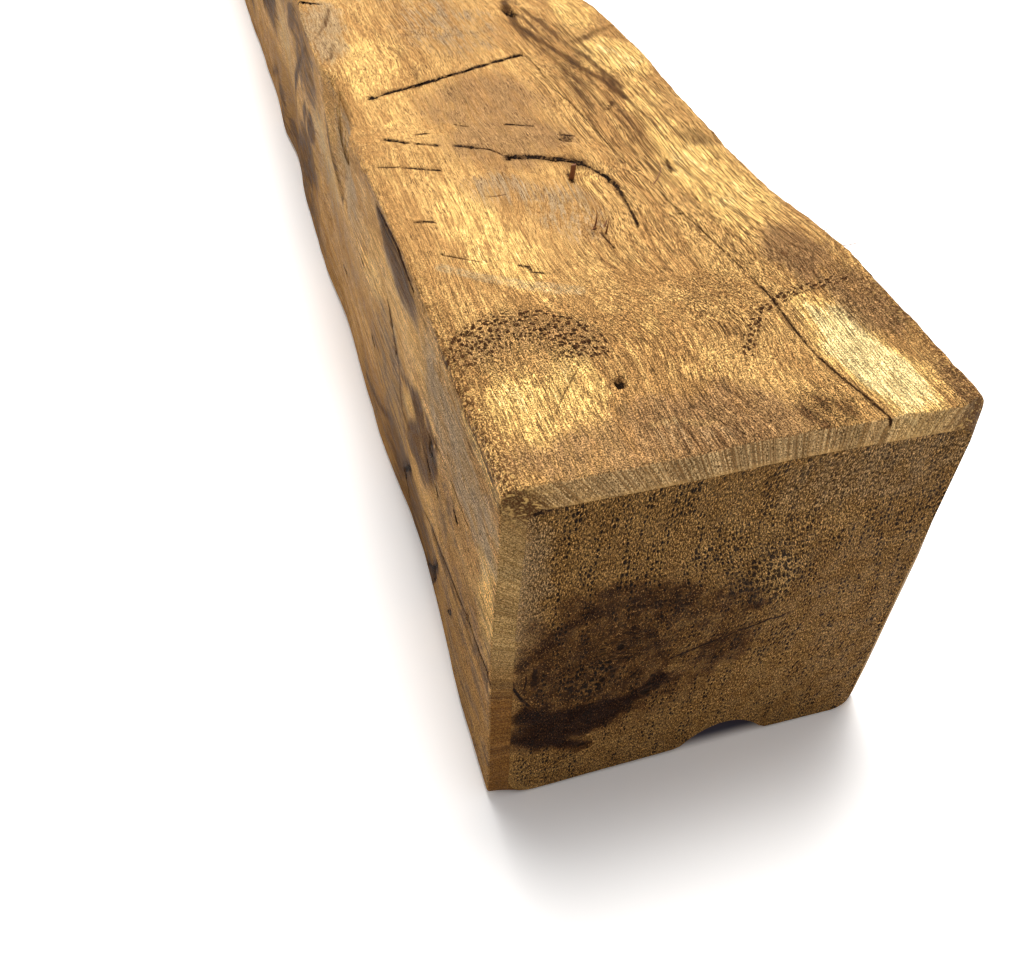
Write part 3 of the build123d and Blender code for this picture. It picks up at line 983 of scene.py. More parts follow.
    def marks(self, spots: np.ndarray, side: Side) -> dict:
        """The tones, grain drift, dark lines and holes at spots of one face.

        Args:
            spots: (place, across) of the points, shaped (..., 2).
            side: The face.

        Returns:
            One array per attribute name.
        """
        bend = np.zeros(spots.shape[:-1])
        for drift in (drift for drift in DRIFTS if drift.side is side):
            run = drift.length / 2 * np.tanh(2 * (spots[..., 0] - drift.place) / drift.length)
            bend += drift.slope * run * np.exp(-(oval_radius(spots, drift)**2))
        hole = np.full(spots.shape[:-1], NO_HOLE)
        for pit in (pit for pit in PITS if pit.side is side):
            hole = np.minimum(hole, oval_radius(spots, pit))
        data = self.tones(spots, side) | self.dark_lines(spots, side)
        data |= {"bend": bend, "hole": hole}
        if side is Side.TOP:
            data |= self.scales(spots)
        if side is Side.END:
            data |= self.end_flow(spots)
        return data

    def relief(self, points: np.ndarray, attributes: dict, edge: np.ndarray) -> np.ndarray:
        """Height of the fine relief at points: adze ripple, frayed edges and torn tufts.

        Args:
            points: Points of the surface, shaped (..., 3).
            attributes: The marks at those points.
            edge: Nearness to an arris or an eased edge, from 0 to 1.

        Returns:
            Heights in millimetres, outwards.
        """
        ripple = 0.26 * lattice_noise(points, (22.0, 15.0, 15.0), 41)
        ripple = ripple + 0.14 * lattice_noise(points, (9.0, 5.0, 5.0), 42)
        fray = 0.35 * lattice_noise(points, (3.4, 2.2, 2.2), 43)
        fray = fray + 0.30 * lattice_noise(points, (11.0, 4.0, 4.0), 44)
        tufts = 0.50 * lattice_noise(points, (4.2, 3.4, 3.4), 45)
        rows = 0.35 * np.sin(2 * np.pi * attributes["scale_out"] / 3.4) * attributes["scales"]
        return ripple + fray * edge + tufts * attributes["torn"] + rows

    @staticmethod
    def sink_pits(spots: np.ndarray, side: Side) -> np.ndarray:
        """Depth of the holes at spots: a bowl with steep walls.

        Args:
            spots: (place, across) of the points, shaped (..., 2).
            side: The face.

        Returns:
            Depths below the face, shaped (...).
        """
        depth = np.zeros(spots.shape[:-1])
        for pit in (pit for pit in PITS if pit.side is side):
            sunk = pit.depth * (1.0 - soft_step(oval_radius(spots, pit), 0.65, 1.1))
            depth = np.maximum(depth, sunk)
        return depth

    def cap(self, boundary: np.ndarray, shares: np.ndarray, x: float) -> np.ndarray:
        """Rings of a sawn end, from just inside its boundary to its middle.

        Args:
            boundary: The end ring's points, shaped (columns, 3).
            shares: How far each ring still is from the middle, from about 1 down to 0.
            x: The sawn face's X.

        Returns:
            Points shaped (rings, columns, 3). The last ring is the middle point repeated.
        """
        middle = np.array([x, self.cap_middle[0] - DEPTH / 2, self.cap_middle[1]])
        points = middle + (boundary - middle) * shares[:, None, None]
        points[..., 0] = x
        return points

    @staticmethod
    def blanks(shape: tuple) -> dict:
        """Every attribute of the wood where no mark lies, as arrays of a shape.

        Args:
            shape: The arrays' shape.

        Returns:
            One array per attribute's name.
        """
        values = {tone.value: 0.0 for tone in Tone} | {
            "bend": 0.0, "line": NO_LINE, "stain_and_shade": 0.0, "hole": NO_HOLE, "scale_along": 0.0,
            "scale_out": 0.0, "scales": 0.0, "flow": 0.0, "run": 0.0, "round": 0.0}
        return {name: np.full(shape, value) for name, value in values.items()}

    def arris_nearness(self, rows: int) -> np.ndarray:
        """Nearness to the four long arrises: bells round each, widest onto the top face.

        Args:
            rows: How many rings the shell has.

        Returns:
            Nearness from 0 to 1.2, shaped (rows, columns).
        """
        parts, total = self.parts(), sum(self.columns.values())
        edge = np.zeros((rows, total))
        for name, strength in (("foot", 0.25), ("brow", 1.2), ("crest", 1.0), ("heel", 0.3)):
            away = np.arange(total) - (parts[name].start + parts[name].stop) / 2
            reach = np.where((away > 0) == (name == "brow"), 7.0, 4.5)
            fall = strength * np.exp(-((away / reach) ** 2))
            edge = np.maximum(edge, fall[None, :])
        return edge

    def mark_faces(self, points: np.ndarray) -> tuple:
        """Lays the marks of the hewn faces on the shell's points.

        Args:
            points: The shell's points, shaped (rows, columns, 3).

        Returns:
            The attributes by name and the depths of the holes, shaped (rows, columns).
        """
        shape, parts = points.shape[:2], self.parts()
        place = LENGTH / 2 - points[..., 0]
        attributes, pits = self.blanks(shape), np.zeros(shape)
        steps = np.linalg.norm(np.diff(points[8], axis=0), axis=1)
        attributes["round"][:] = np.concatenate([[0.0], np.cumsum(steps)])[None, :]
        front = slice(parts["foot"].start, parts["brow"].start + 4)
        top = slice(parts["brow"].start + 2, parts["crest"].stop)
        for side, cols in ((Side.FRONT, front), (Side.TOP, top)):
            over = points[:, cols, 2] if side is Side.FRONT else points[:, cols, 1] + DEPTH / 2
            spots = np.stack([place[:, cols], over], axis=-1)
            for name, values in self.marks(spots, side).items():
                attributes[name][:, cols] = values
            pits[:, cols] = self.sink_pits(spots, side)
        return attributes, pits

    def near_end(self, ring: np.ndarray) -> tuple:
        """The near sawn end: its cap, with holes and saw ripple, and its attributes.

        Args:
            ring: The shell's ring at this end, shaped (columns, 3).

        Returns:
            The cap's points from its rim to its middle, and its attributes by name.
        """
        shares = np.concatenate([[0.9985, 0.995, 0.985], np.linspace(0.965, 0.0, 30)])
        near = self.cap(ring, shares, LENGTH / 2)
        spots = np.stack([near[..., 1] + DEPTH / 2, near[..., 2]], axis=-1)
        near[..., 0] -= self.sink_pits(spots, Side.END)
        marks = self.marks(spots, Side.END)
        near[..., 0] -= 0.12 * (1.0 + lattice_noise(near, (9.0, 30.0, 1.6), 51))
        blank = {name: np.zeros(near.shape[:-1]) for name in self.blanks(())}
        return near, blank | marks

    def far_end(self, ring: np.ndarray) -> tuple:
        """The far sawn end: its plain cap, with one stain, and its attributes.

        Args:
            ring: The shell's ring at this end, shaped (columns, 3).

        Returns:
            The cap's points from its rim to its middle, and its attributes by name.
        """
        shares = 1.0 - np.arange(1, self.far_cap_rings + 1) / self.far_cap_rings
        far = self.cap(ring, shares, -LENGTH / 2)
        spots = np.stack([DEPTH / 2 - far[..., 1], far[..., 2]], axis=-1)
        stain = 0.5 * oval_share(spots, Patch(74, 120, 80, 60, 1.0, 20))
        return far, self.blanks(far.shape[:-1]) | {
            "dark": stain, "flow": spots[..., 0], "run": spots[..., 1]}

    def build(self) -> bpy.types.Object:
        """Makes the beam's mesh with its attributes.

        Returns:
            The beam's object.
        """
        shell, parts = self.surface(), self.parts()
        points, inward, eased = shell["points"], shell["inward"], shell["eased"]
        attributes, pits = self.mark_faces(points)
        edge = self.arris_nearness(len(points))
        height = self.relief(points, attributes, edge) * np.clip(1.3 - eased, 0.3, 1.0)
        for name in ("under", "back"):
            height[:, parts[name]] = np.minimum(height[:, parts[name]], 0.0)
        points = points - inward * (height - shell["groove"] - pits)[..., None]
        points[0, :, 0], points[-1, :, 0] = LENGTH / 2, -LENGTH / 2
        boundary = np.stack([points[0, :, 1] + DEPTH / 2, points[0, :, 2]], axis=-1)
        for name, values in self.end_flow(boundary).items():
            attributes[name][0] = values
        near, near_marks = self.near_end(points[0])
        far, far_marks = self.far_end(points[-1])

        def joined(first: np.ndarray, middle: np.ndarray, last: np.ndarray) -> np.ndarray:
            """The arrays of the near cap, the shell and the far cap as one."""
            return np.concatenate([first[::-1], middle, last])

        data = {name: joined(near_marks[name], attributes[name], far_marks[name])
                for name in attributes}
        flat, far_flat = np.zeros(near.shape[:-1]), np.zeros(far.shape[:-1])
        data["end"] = joined(flat + 1.0, 0.0 * eased, far_flat + 1.0)
        soft = slice(parts["foot"].start, parts["front"].stop)
        data["end"][len(near) - 4:len(near), soft] = np.array([0.85, 0.6, 0.45, 0.3])[:, None]
        rim = np.zeros(eased.shape)
        rim[0, parts["top"]], rim[1, parts["top"]] = 1.0, 0.6
        data["ease"] = joined(flat, np.clip(eased, 0.0, 1.0), far_flat)
        data["edge"] = joined(flat, edge, far_flat)
        data["rim"] = joined(flat, rim, far_flat)
        depths = joined(flat, shell["groove"], far_flat)
        return make_grid_object("timber", joined(near, points, far), data, depths)


def make_grid_object(name: str, grid: np.ndarray, data: dict,
                     depths: np.ndarray) -> bpy.types.Object:
    """Turns rings of points into a closed mesh whose first and last rings are single points.

    Quads join each ring to the next, and fans of triangles close the two poles. A quad that
    touches a cut is split along the diagonal that joins its deeper corners.

    Args:
        name: The object's name.
        grid: Points in millimetres, shaped (rings, columns, 3).
        data: One array per attribute, shaped (rings, columns).
        depths: Depth in the cuts, shaped (rings, columns).

    Returns:
        The object, with its place in its mesh.
    """
    rings, columns = grid.shape[:2]
    body = grid[1:-1].reshape(-1, 3)
    vertices = np.concatenate([grid[:1, 0], body, grid[-1:, 0]]) * MILLIMETRE
    deep = np.concatenate([depths[:1, 0], depths[1:-1].reshape(-1), depths[-1:, 0]])
    number = 1 + np.arange((rings - 2) * columns).reshape(rings - 2, columns)
    after = np.roll(number, -1, axis=1)
    quads = np.stack([number[:-1], number[1:], after[1:], after[:-1]], axis=-1).reshape(-1, 4)
    split = deep[quads].max(axis=1) > 0.0
    cut, quads = quads[split], quads[~split]
    turned = deep[cut[:, 1]] + deep[cut[:, 3]] > deep[cut[:, 0]] + deep[cut[:, 2]]
    cut = np.where(turned[:, None], np.roll(cut, -1, axis=1), cut)
    pieces = np.concatenate([cut[:, [0, 1, 2]], cut[:, [0, 2, 3]]])
    last = len(vertices) - 1
    first_fan = np.stack([np.zeros(columns, int), number[0], after[0]], axis=-1)
    last_fan = np.stack([np.full(columns, last), after[-1], number[-1]], axis=-1)
    mesh = bpy.data.meshes.new(name)
    mesh.from_pydata(vertices.tolist(), [], first_fan.tolist() + quads.tolist()
                     + pieces.tolist() + last_fan.tolist())
    mesh.update()
    for label, values in data.items():
        flat = np.concatenate([values[:1, 0], values[1:-1].reshape(-1), values[-1:, 0]])
        layer = mesh.attributes.new(label, "FLOAT", "POINT")
        layer.data.foreach_set("value", flat.astype(np.float32))
    mesh.polygons.foreach_set("use_smooth", np.ones(len(mesh.polygons), bool))
    piece = bpy.data.objects.new(name, mesh)
    bpy.context.scene.collection.objects.link(piece)
    return piece


class Reading:
    """A number, vector or colour that a node gives. Sums on it are written as plain arithmetic."""

    def __init__(self, wiring: "Wiring", socket: bpy.types.NodeSocket) -> None:
        """Holds the node's socket and the wiring that it belongs to."""
        self.wiring, self.socket = wiring, socket

    def __add__(self, other: object) -> "Reading":
        """This number plus another."""
        return self.wiring.math("ADD", self, other)

    def __radd__(self, other: object) -> "Reading":
        """Another number plus this one."""
        return self.wiring.math("ADD", other, self)

    def __sub__(self, other: object) -> "Reading":
        """This number less another."""
        return self.wiring.math("SUBTRACT", self, other)

    def __rsub__(self, other: object) -> "Reading":
        """Another number less this one."""
        return self.wiring.math("SUBTRACT", other, self)

    def __mul__(self, other: object) -> "Reading":
        """This number times another."""
        return self.wiring.math("MULTIPLY", self, other)

    def __abs__(self) -> "Reading":
        """This number without its sign."""
        return self.wiring.math("ABSOLUTE", self)

    def around(self, width: float) -> "Reading":
        """A number from 0 to 1 turned to one around 0, of a whole width."""
        return (self - 0.5) * width

    def remap(self, low: float, high: float, first: float = 0.0, last: float = 1.0) -> "Reading":
        """This number carried from low..high to first..last by a smoothstep."""
        return self.wiring.result("ShaderNodeMapRange", (self, low, high, first, last),
                                  interpolation_type="SMOOTHSTEP")

    def scaled(self, factor: object) -> "Reading":
        """This colour times a number.

        Args:
            factor: The number, or the reading that gives it.

        Returns:
            The colour made lighter or darker.
        """
        made = self.wiring.node("ShaderNodeVectorMath", operation="SCALE")
        self.wiring.feed(made.inputs[0], self)
        self.wiring.feed(made.inputs["Scale"], factor)
        return Reading(self.wiring, made.outputs[0])

    def toward(self, other: object, share: object, mode: str = "MIX") -> "Reading":
        """This colour mixed with another by a share of the other."""
        return self.wiring.blend(share, self, other, mode)


class Wiring:
    """Adds the nodes of one material or world and joins them."""

    def __init__(self, owner: bpy.types.ID) -> None:
        """Empties the node tree of a material or world.

        Args:
            owner: The material or world.
        """
        self.owner = owner
        owner.use_nodes = True
        self.tree = owner.node_tree
        self.tree.nodes.clear()

    def node(self, kind: str, **settings: object) -> bpy.types.Node:
        """A new node of a kind, with its settings.

        Args:
            kind: The node's type.
            settings: Its properties by name.

        Returns:
            The node.
        """
        made = self.tree.nodes.new(kind)
        for key, value in settings.items():
            setattr(made, key, value)
        return made

    def feed(self, socket: bpy.types.NodeSocket, value: object) -> None:
        """Links a socket to a reading or an output, or sets its constant.

        Args:
            socket: The input.
            value: A reading, an output, or a number, vector or colour.
        """
        if isinstance(value, Reading):
            value = value.socket
        if isinstance(value, bpy.types.NodeSocket):
            self.tree.links.new(value, socket)
        elif socket.type == "RGBA":
            socket.default_value = (*value, 1.0)
        else:
            socket.default_value = value

    def result(self, kind: str, values: tuple, **settings: object) -> Reading:
        """The first output of a new node whose inputs are fed in order.

        Args:
            kind: The node's type.
            values: What its first inputs are fed.
            settings: Its properties by name.

        Returns:
            The output.
        """
        made = self.node(kind, **settings)
        for socket, value in zip(made.inputs, values):
            self.feed(socket, value)
        return Reading(self, made.outputs[0])

    def math(self, operation: str, *values: object) -> Reading:
        """The result of a sum on numbers."""
        return self.result("ShaderNodeMath", values, operation=operation)

    def vector(self, operation: str, *values: object) -> Reading:
        """The result of a sum on vectors."""
        return self.result("ShaderNodeVectorMath", values, operation=operation)

    def combine(self, *values: object) -> Reading:
        """A vector of three numbers."""
        return self.result("ShaderNodeCombineXYZ", values)

    def point(self) -> tuple:
        """The point on the piece in millimetres, and its X, Y and Z.

        Returns:
            The point, and a list of its three coordinates.
        """
        place = self.node("ShaderNodeTexCoord").outputs["Object"]
        spot = self.vector("MULTIPLY", place, (1000.0, 1000.0, 1000.0))
        axes = self.node("ShaderNodeSeparateXYZ")
        self.feed(axes.inputs[0], spot)
        return spot, [Reading(self, socket) for socket in axes.outputs]

    def attribute(self, name: str) -> Reading:
        """A vertex attribute's number."""
        return Reading(self, self.node("ShaderNodeAttribute", attribute_name=name).outputs["Fac"])

    def texture(self, kind: str, vector: Reading, sizes: tuple, inputs: dict,
                **settings: object) -> bpy.types.Node:
        """A texture node whose pattern has about the sizes, in millimetres, along each axis.

        Args:
            kind: The node's type.
            vector: Where, in millimetres.
            sizes: The pattern's sizes along each axis.
            inputs: The node's other inputs by name.
            settings: Its properties by name.

        Returns:
            The node.
        """
        scaled = self.vector("MULTIPLY", vector, tuple(1.0 / size for size in sizes))
        made = self.node(kind, **settings)
        for name, value in ({"Vector": scaled, "Scale": 1.0} | inputs).items():
            self.feed(made.inputs[name], value)
        return made

    def noise(self, vector: Reading, sizes: tuple, detail: float) -> Reading:
        """Noise of about the sizes, in millimetres, along each axis of a vector."""
        made = self.texture("ShaderNodeTexNoise", vector, sizes,
                            {"Detail": detail, "Roughness": 0.5})
        return Reading(self, made.outputs["Fac"])

    def stretched(self, vector: Reading, sizes: tuple, detail: float) -> Reading:
        """Noise spread over the whole range from 0 to 1."""
        return self.noise(vector, sizes, detail).remap(0.3, 0.7)

    def spots(self, vector: Reading, sizes: tuple, radius: float, share: float,
              randomness: float) -> Reading:
        """Scattered spots: 1 in the middle of a share of cells of the sizes, 0 between them.

        Args:
            vector: Where, in millimetres.
            sizes: The cells' sizes along each axis.
            radius: The spots' radius as a share of a cell.
            share: How many of the cells hold a spot.
            randomness: How far the spots stray from a lattice.

        Returns:
            The spots' strength.
        """
        made = self.texture("ShaderNodeTexVoronoi", vector, sizes, {"Randomness": randomness},
                            voronoi_dimensions="2D" if sizes[2] == 1.0 else "3D")
        pick = self.node("ShaderNodeSeparateColor")
        self.feed(pick.inputs[0], made.outputs["Color"])
        chance, size = (Reading(self, socket) for socket in pick.outputs[:2])
        size = 0.7 * radius + size * (0.8 * radius)
        shape = (Reading(self, made.outputs["Distance"]) - size).remap(0.07, -0.05)
        return shape * self.math("LESS_THAN", chance, share)

    def blend(self, share: object, first: object, second: object, mode: str = "MIX") -> Reading:
        """Two colours mixed by a share of the second.

        Args:
            share: The second colour's share.
            first: The first colour.
            second: The second colour.
            mode: How the second is laid over the first.

        Returns:
            The mixed colour.
        """
        made = self.node("ShaderNodeMix", data_type="RGBA", blend_type=mode)
        for index, value in ((0, share), (6, first), (7, second)):
            self.feed(made.inputs[index], value)
        return Reading(self, made.outputs[2])

    def dyed(self, colour: Reading, stir: Reading, rows: tuple) -> Reading:
        """A colour with tones laid over it, one after another, each with edges stirred by noise.

        Args:
            colour: The ground colour.
            stir: The noise that is added to each tone's attribute.
            rows: Each tone's attribute, the values at which it starts and is full, its largest
                share, and its colour.

        Returns:
            The dyed colour.
        """
        for name, low, high, most, tone in rows:
            value = self.attribute(name)
            share = (value + stir).remap(low, high, 0.0, most) * value.remap(0.03, 0.3)
            colour = colour.toward(tone, share)
        return colour

    def wood(self, colour: Reading, height: Reading, depth: float, strength: float,
             inputs: dict) -> bpy.types.Material:
        """Joins a colour and a relief to a plain shader.

        Args:
            colour: The base colour.
            height: The relief.
            depth: The relief's depth in metres where its height is 1.
            strength: The relief's strength.
            inputs: The shader's other inputs by name.

        Returns:
            The material.
        """
        bump = self.node("ShaderNodeBump")
        for name, value in (("Strength", strength), ("Distance", depth), ("Height", height)):
            self.feed(bump.inputs[name], value)
        shader = self.node("ShaderNodeBsdfPrincipled")
        for name, value in ({"Base Color": colour, "Normal": bump.outputs[0]} | inputs).items():
            self.feed(shader.inputs[name], value)
        return self.finish(shader)

    def by_camera(self, plain: bpy.types.Node, seen: bpy.types.Node) -> bpy.types.Node:
        """A shader that is one node to the camera and another to all other rays.

        Args:
            plain: The shader that the other rays meet.
            seen: The shader that the camera sees.

        Returns:
            The node that mixes them.
        """
        mix = self.node("ShaderNodeMixShader")
        rays = self.node("ShaderNodeLightPath").outputs["Is Camera Ray"]
        for socket, value in zip(mix.inputs, (rays, plain.outputs[0], seen.outputs[0])):
            self.feed(socket, value)
        return mix

    def finish(self, shader: bpy.types.Node) -> bpy.types.ID:
        """Joins a shader to the output.

        Args:
            shader: The shader's node.

        Returns:
            The material or world.
        """
        world = isinstance(self.owner, bpy.types.World)
        output = self.node("ShaderNodeOutputWorld" if world else "ShaderNodeOutputMaterial")
        self.tree.links.new(shader.outputs[0], output.inputs["Surface"])
        return self.owner


@dataclass(frozen=True)
class HoneyWood:
    """Oiled and brushed barn wood: streaky honey grain, stained and torn in places, and darker end
    grain with open pores. Shade is painted into its cuts, holes, torn scales, grit, a few dark
    patches and the foot of the front, and a highlight onto its strongest pale patches."""

    light: tuple = (0.72, 0.42, 0.148)
    mid: tuple = (0.49, 0.262, 0.090)
    bright: tuple = (0.94, 0.585, 0.195)
    # Painted highlight: brighter than white, laid over the strongest pale patches
    glint: tuple = (1.08, 0.82, 0.37)
    mauve: tuple = (0.30, 0.165, 0.075)
    brown: tuple = (0.10, 0.043, 0.015)
    grey: tuple = (0.40, 0.285, 0.165)
    black: tuple = (0.014, 0.007, 0.004)
    end_light: tuple = (0.33, 0.180, 0.054)
    end_deep: tuple = (0.185, 0.086, 0.022)
    end_brown: tuple = (0.080, 0.027, 0.006)
    end_black: tuple = (0.016, 0.004, 0.002)
    umber: tuple = (0.055, 0.020, 0.007)
    chalk: tuple = (0.47, 0.35, 0.19)
    worn_dark: tuple = (0.15, 0.076, 0.026)
    worn_light: tuple = (0.58, 0.39, 0.185)
    shade_high: tuple = (0.84, 0.82, 0.72)
    shade_low: tuple = (0.44, 0.31, 0.17)
    # Painted shade on the plain front, darkest at its foot
    front_foot_shade: tuple = (0.74, 0.68, 0.56)
    gloss: float = 1.12

    def make(self) -> bpy.types.Material:
        """Builds the material.

        Returns:
            The wood's material.
        """
        w = Wiring(bpy.data.materials.new("honey_wood_grain"))
        spot, axes = w.point()
        x, y, z = axes
        drift = w.attribute("bend") + w.noise(spot, (90, 40, 40), 2.0).around(9.0)
        grain = w.combine(x, y + drift, z + drift)
        grit = w.stretched(spot, (0.62, 0.5, 0.5), 1.0)
        cloud = w.stretched(spot, (17, 11, 11), 2.0)
        long_colour, long_height = self._long_grain(w, spot, axes, grain, grit, cloud)
        end_colour, end_height = self._end_grain(w, spot, x, grit, cloud)
        end = w.attribute("end")
        colour = long_colour.toward(end_colour, end)
        height = end * end_height + (1.0 - end) * long_height

        # Dark lines with jagged lips, and holes: partly dark stains, partly painted shade in the
        # grooves, beside them and in the deep holes
        stain_and_shade = w.attribute("stain_and_shade")
        jag = w.noise(spot, (0.9, 0.9, 0.9), 1.0).around(1.5)
        broken = w.noise(spot, (2.6, 2.6, 2.6), 1.0).remap(0.36, 0.50, 0.35, 1.0)
        line = abs(w.attribute("line") + jag)
        crack = line.remap(1.3, 0.8) * stain_and_shade * broken
        lip = line.remap(2.8, 1.2) * stain_and_shade
        hollow = w.attribute("hole") + w.noise(spot, (2.0, 2.0, 2.0), 2.0).around(1.1)
        # Painted shade: the grooves, their lips and the holes are darkened to brown and black
        for tone, share in (
            (self.brown, lip * 0.4), (self.umber, crack),
            (self.black, crack * stain_and_shade.remap(0.6, 1.0)),
            (self.brown, hollow.remap(1.5, 1.0) * 0.5),
            (self.black, hollow.remap(1.05, 0.8) * 0.96),
        ):
            colour = colour.toward(tone, share)
        return w.wood(colour, height - crack * 0.7, MILLIMETRE, 1.0, {
            "Roughness": cloud.remap(0.2, 0.8, 0.7, 0.52), "IOR": self.gloss})

    def _long_grain(self, w: Wiring, spot: Reading, axes: list, grain: Reading, grit: Reading,
                    cloud: Reading) -> tuple:
        """Colour and relief of the hewn faces, where the grain runs along the beam.

        Args:
            w: The wiring.
            spot: The point in millimetres.
            axes: X, Y and Z in millimetres.
            grain: The point along the wandering grain.
            grit: Fine grains of about a millimetre.
            cloud: Soft clouds of about fifteen millimetres.

        Returns:
            The colour and the height in millimetres.
        """
        x, y, z = axes
        near = x.remap(590.0, 690.0, 0.35, 1.0)
        hair = w.stretched(grain, (6, 0.5, 0.5), 1.0)
        fine = w.stretched(grain, (26, 0.95, 0.95), 2.0)
        strand = w.stretched(grain, (80, 2.5, 2.5), 2.0)
        broad = w.stretched(grain, (140, 20, 18), 2.0)
        torn, edge = w.attribute("torn"), w.attribute("edge")
        stir = strand.around(0.5) + fine.around(0.42) + (cloud.around(0.35) + hair.around(0.3))
        tint = broad * 0.35 + strand * 0.45 + cloud * 0.20
        colour = w.dyed(w.blend(tint.remap(0.25, 0.72), self.mid, self.light), stir, (
            # The second pale row lays the painted highlight of the glint colour
            ("pale", 0.15, 0.95, 0.92, self.bright), ("pale", 0.95, 1.55, 1.0, self.glint),
            ("mauve", 0.1, 0.9, 0.75, self.mauve), ("grey", 0.15, 0.95, 0.75, self.grey),
            ("dark", 0.2, 1.0, 0.9, self.brown), ("dark", 1.05, 1.55, 0.85, self.black),
        ))

        # The rasped easing, hatched round the beam; painted shade darkens the front towards its
        # foot, on the easing and on the plain face
        eased = w.attribute("ease").remap(0.02, 0.12)
        round_beam = w.attribute("round")
        hatch = w.stretched(w.combine(round_beam, grit * 0.7, 0.0), (0.8, 1.0, 1.0), 1.0)
        band = w.stretched(w.combine(round_beam, 7.0, 0.0), (11.0, 1.0, 1.0), 2.0)
        front = y.remap(-78.0, -84.0)
        calm = hatch.around(1.0) * (1.0 - front * 0.45)
        worn = w.blend(0.5 + calm, self.worn_dark, self.worn_light).scaled(
            1.0 + band.around(0.5))
        shade = w.blend(z.remap(118.0, 72.0), self.shade_high, self.shade_low)
        low = front * z.remap(150.0, 40.0)
        colour = colour.toward(worn, eased * 0.8)
        colour = colour.toward(self.brown, eased * edge.remap(0.3, 1.1, 0.0, 0.6))
        colour = colour.toward(shade, eased * front, "MULTIPLY")
        # Painted shade: the plain front is darkened towards its foot
        colour = colour.toward(self.front_foot_shade, low - low * eased, "MULTIPLY")

        # Comb lines, dashes, torn scales and pits, and the pale scratch; the dark scales and pits
        # are painted shade of the torn grain's small steps and pits
        plain = 1.0 - eased
        combed = w.noise(grain, (60, 0.6, 0.6), 1.0).remap(0.52, 0.60) * (
            0.18 + w.attribute("comb") * 0.75) * plain
        dashes = w.noise(grain, (5, 0.5, 0.5), 1.0).remap(0.57, 0.66) * (
            cloud.remap(0.2, 0.9, 0.25, 0.75)) * plain
        stray = w.noise(spot, (2.4, 2.4, 2.4), 1.0).around(3.0)
        scaled = w.combine(w.attribute("scale_along") + stray,
                           w.attribute("scale_out") + stray * 0.7, 0.0)
        crescents = w.attribute("scales")
        scales = w.spots(scaled, (3.5, 2.0, 1.0), 0.27, 0.85, 0.85) * crescents.remap(0.2, 0.6)
        pits = w.spots(grain, (3.4, 1.7, 1.7), 0.24, 0.55, 1.0) * (torn * 0.9)
        # Painted shade: the torn grain's steps and pits are darkened to umber
        marks = w.math("MAXIMUM", scales, pits)
        scratch = w.noise(spot, (1.0, 2.0, 2.0), 1.0).remap(0.40, 0.60, 0.3, 1.0) * (
            w.attribute("scratch").remap(0.2, 0.75))
        for tone, share in (
            (self.brown, combed), (self.brown, dashes),
            (self.mauve, crescents.remap(0.2, 0.9) * 0.2), (self.umber, marks * 0.95),
            (self.chalk, scratch * 0.62),
        ):
            colour = colour.toward(tone, share)

        # Light and dark grains, with fine specks that are partly painted shade of the rough grit,
        # then the pale rim, the fuzz and the fibres of the arrises
        glow = 0.97 + plain * (0.3 + near * 0.55) * hair.around(1.0)
        rough = near * (1.0 + torn * 0.4) * (1.0 - eased * 0.2)
        # Painted shade: the grit's dark specks stand partly for the shade of its rough relief
        colour = colour.scaled(glow * (1.0 + fine.around(0.36)) * (
            1.0 + grit.around(1.4) * rough))
        rim = w.attribute("rim") * band.remap(0.2, 0.7, 0.15, 0.6)
        fuzz = w.noise(spot, (1.3, 0.9, 0.9), 1.0).remap(0.46, 0.56) * (edge * (near * 0.8))
        fibre = w.noise(spot, (0.8, 2.8, 1.2), 1.0).remap(0.60, 0.66) * (edge * (near * 0.45))
        for tone, share in ((self.light, rim), (self.brown, fuzz), (self.bright, fibre)):
            colour = colour.toward(tone, share)

        height = fine * 0.26 + hair * 0.20 + grit * (near * 0.36 + torn * 0.25)
        height = height - dashes * 0.12 - combed * 0.2 - marks * 0.45
        height = height * (0.25 + plain * 0.75) + strand * 0.3 + hatch * eased * 0.12
        return colour, height

    def _end_grain(self, w: Wiring, spot: Reading, x: Reading, grit: Reading,
                   cloud: Reading) -> tuple:
        """Colour and relief of the sawn ends, with their pores and dark stains.

        Args:
            w: The wiring.
            spot: The point in millimetres.
            x: Its X in millimetres.
            grit: Fine grains of about a millimetre.
            cloud: Soft clouds of about fifteen millimetres.

        Returns:
            The colour and the height in millimetres.
        """
        flow, run = w.attribute("flow"), w.attribute("run")
        nib = w.stretched(w.combine(flow, run, x), (0.55, 1.5, 3.0), 1.0)
        patch = w.stretched(spot, (7, 6, 7), 2.0)
        stir = patch.around(0.45) + nib.around(0.6) + grit.around(0.38)
        rings = w.stretched(w.combine(flow, run * 0.06, 0.0), (4.5, 1, 1), 2.0)
        tint = cloud * 0.5 + rings * 0.5
        colour = w.blend(tint.remap(-0.5, 1.5), self.end_deep, self.end_light)
        where = w.combine(flow, run, 0.0)
        lips = w.spots(w.vector("ADD", where, (0.5, -0.6, 0.0)), (1.9, 3.4, 1.0), 0.27, 0.9, 0.6)
        colour = w.dyed(colour.toward(self.mid, lips * 0.35), stir, (
            ("pale", 0.15, 0.95, 0.5, self.light), ("grey", 0.15, 0.95, 0.4, self.grey),
            ("dark", 0.1, 0.85, 0.9, self.end_brown), ("dark", 0.62, 1.25, 0.96, self.end_black),
        ))
        fleck = (nib * grit).remap(0.45, 0.8) * (
            w.attribute("dark").remap(0.2, 1.4, 0.55, 0.10))
        colour = colour.toward(self.mid, fleck)

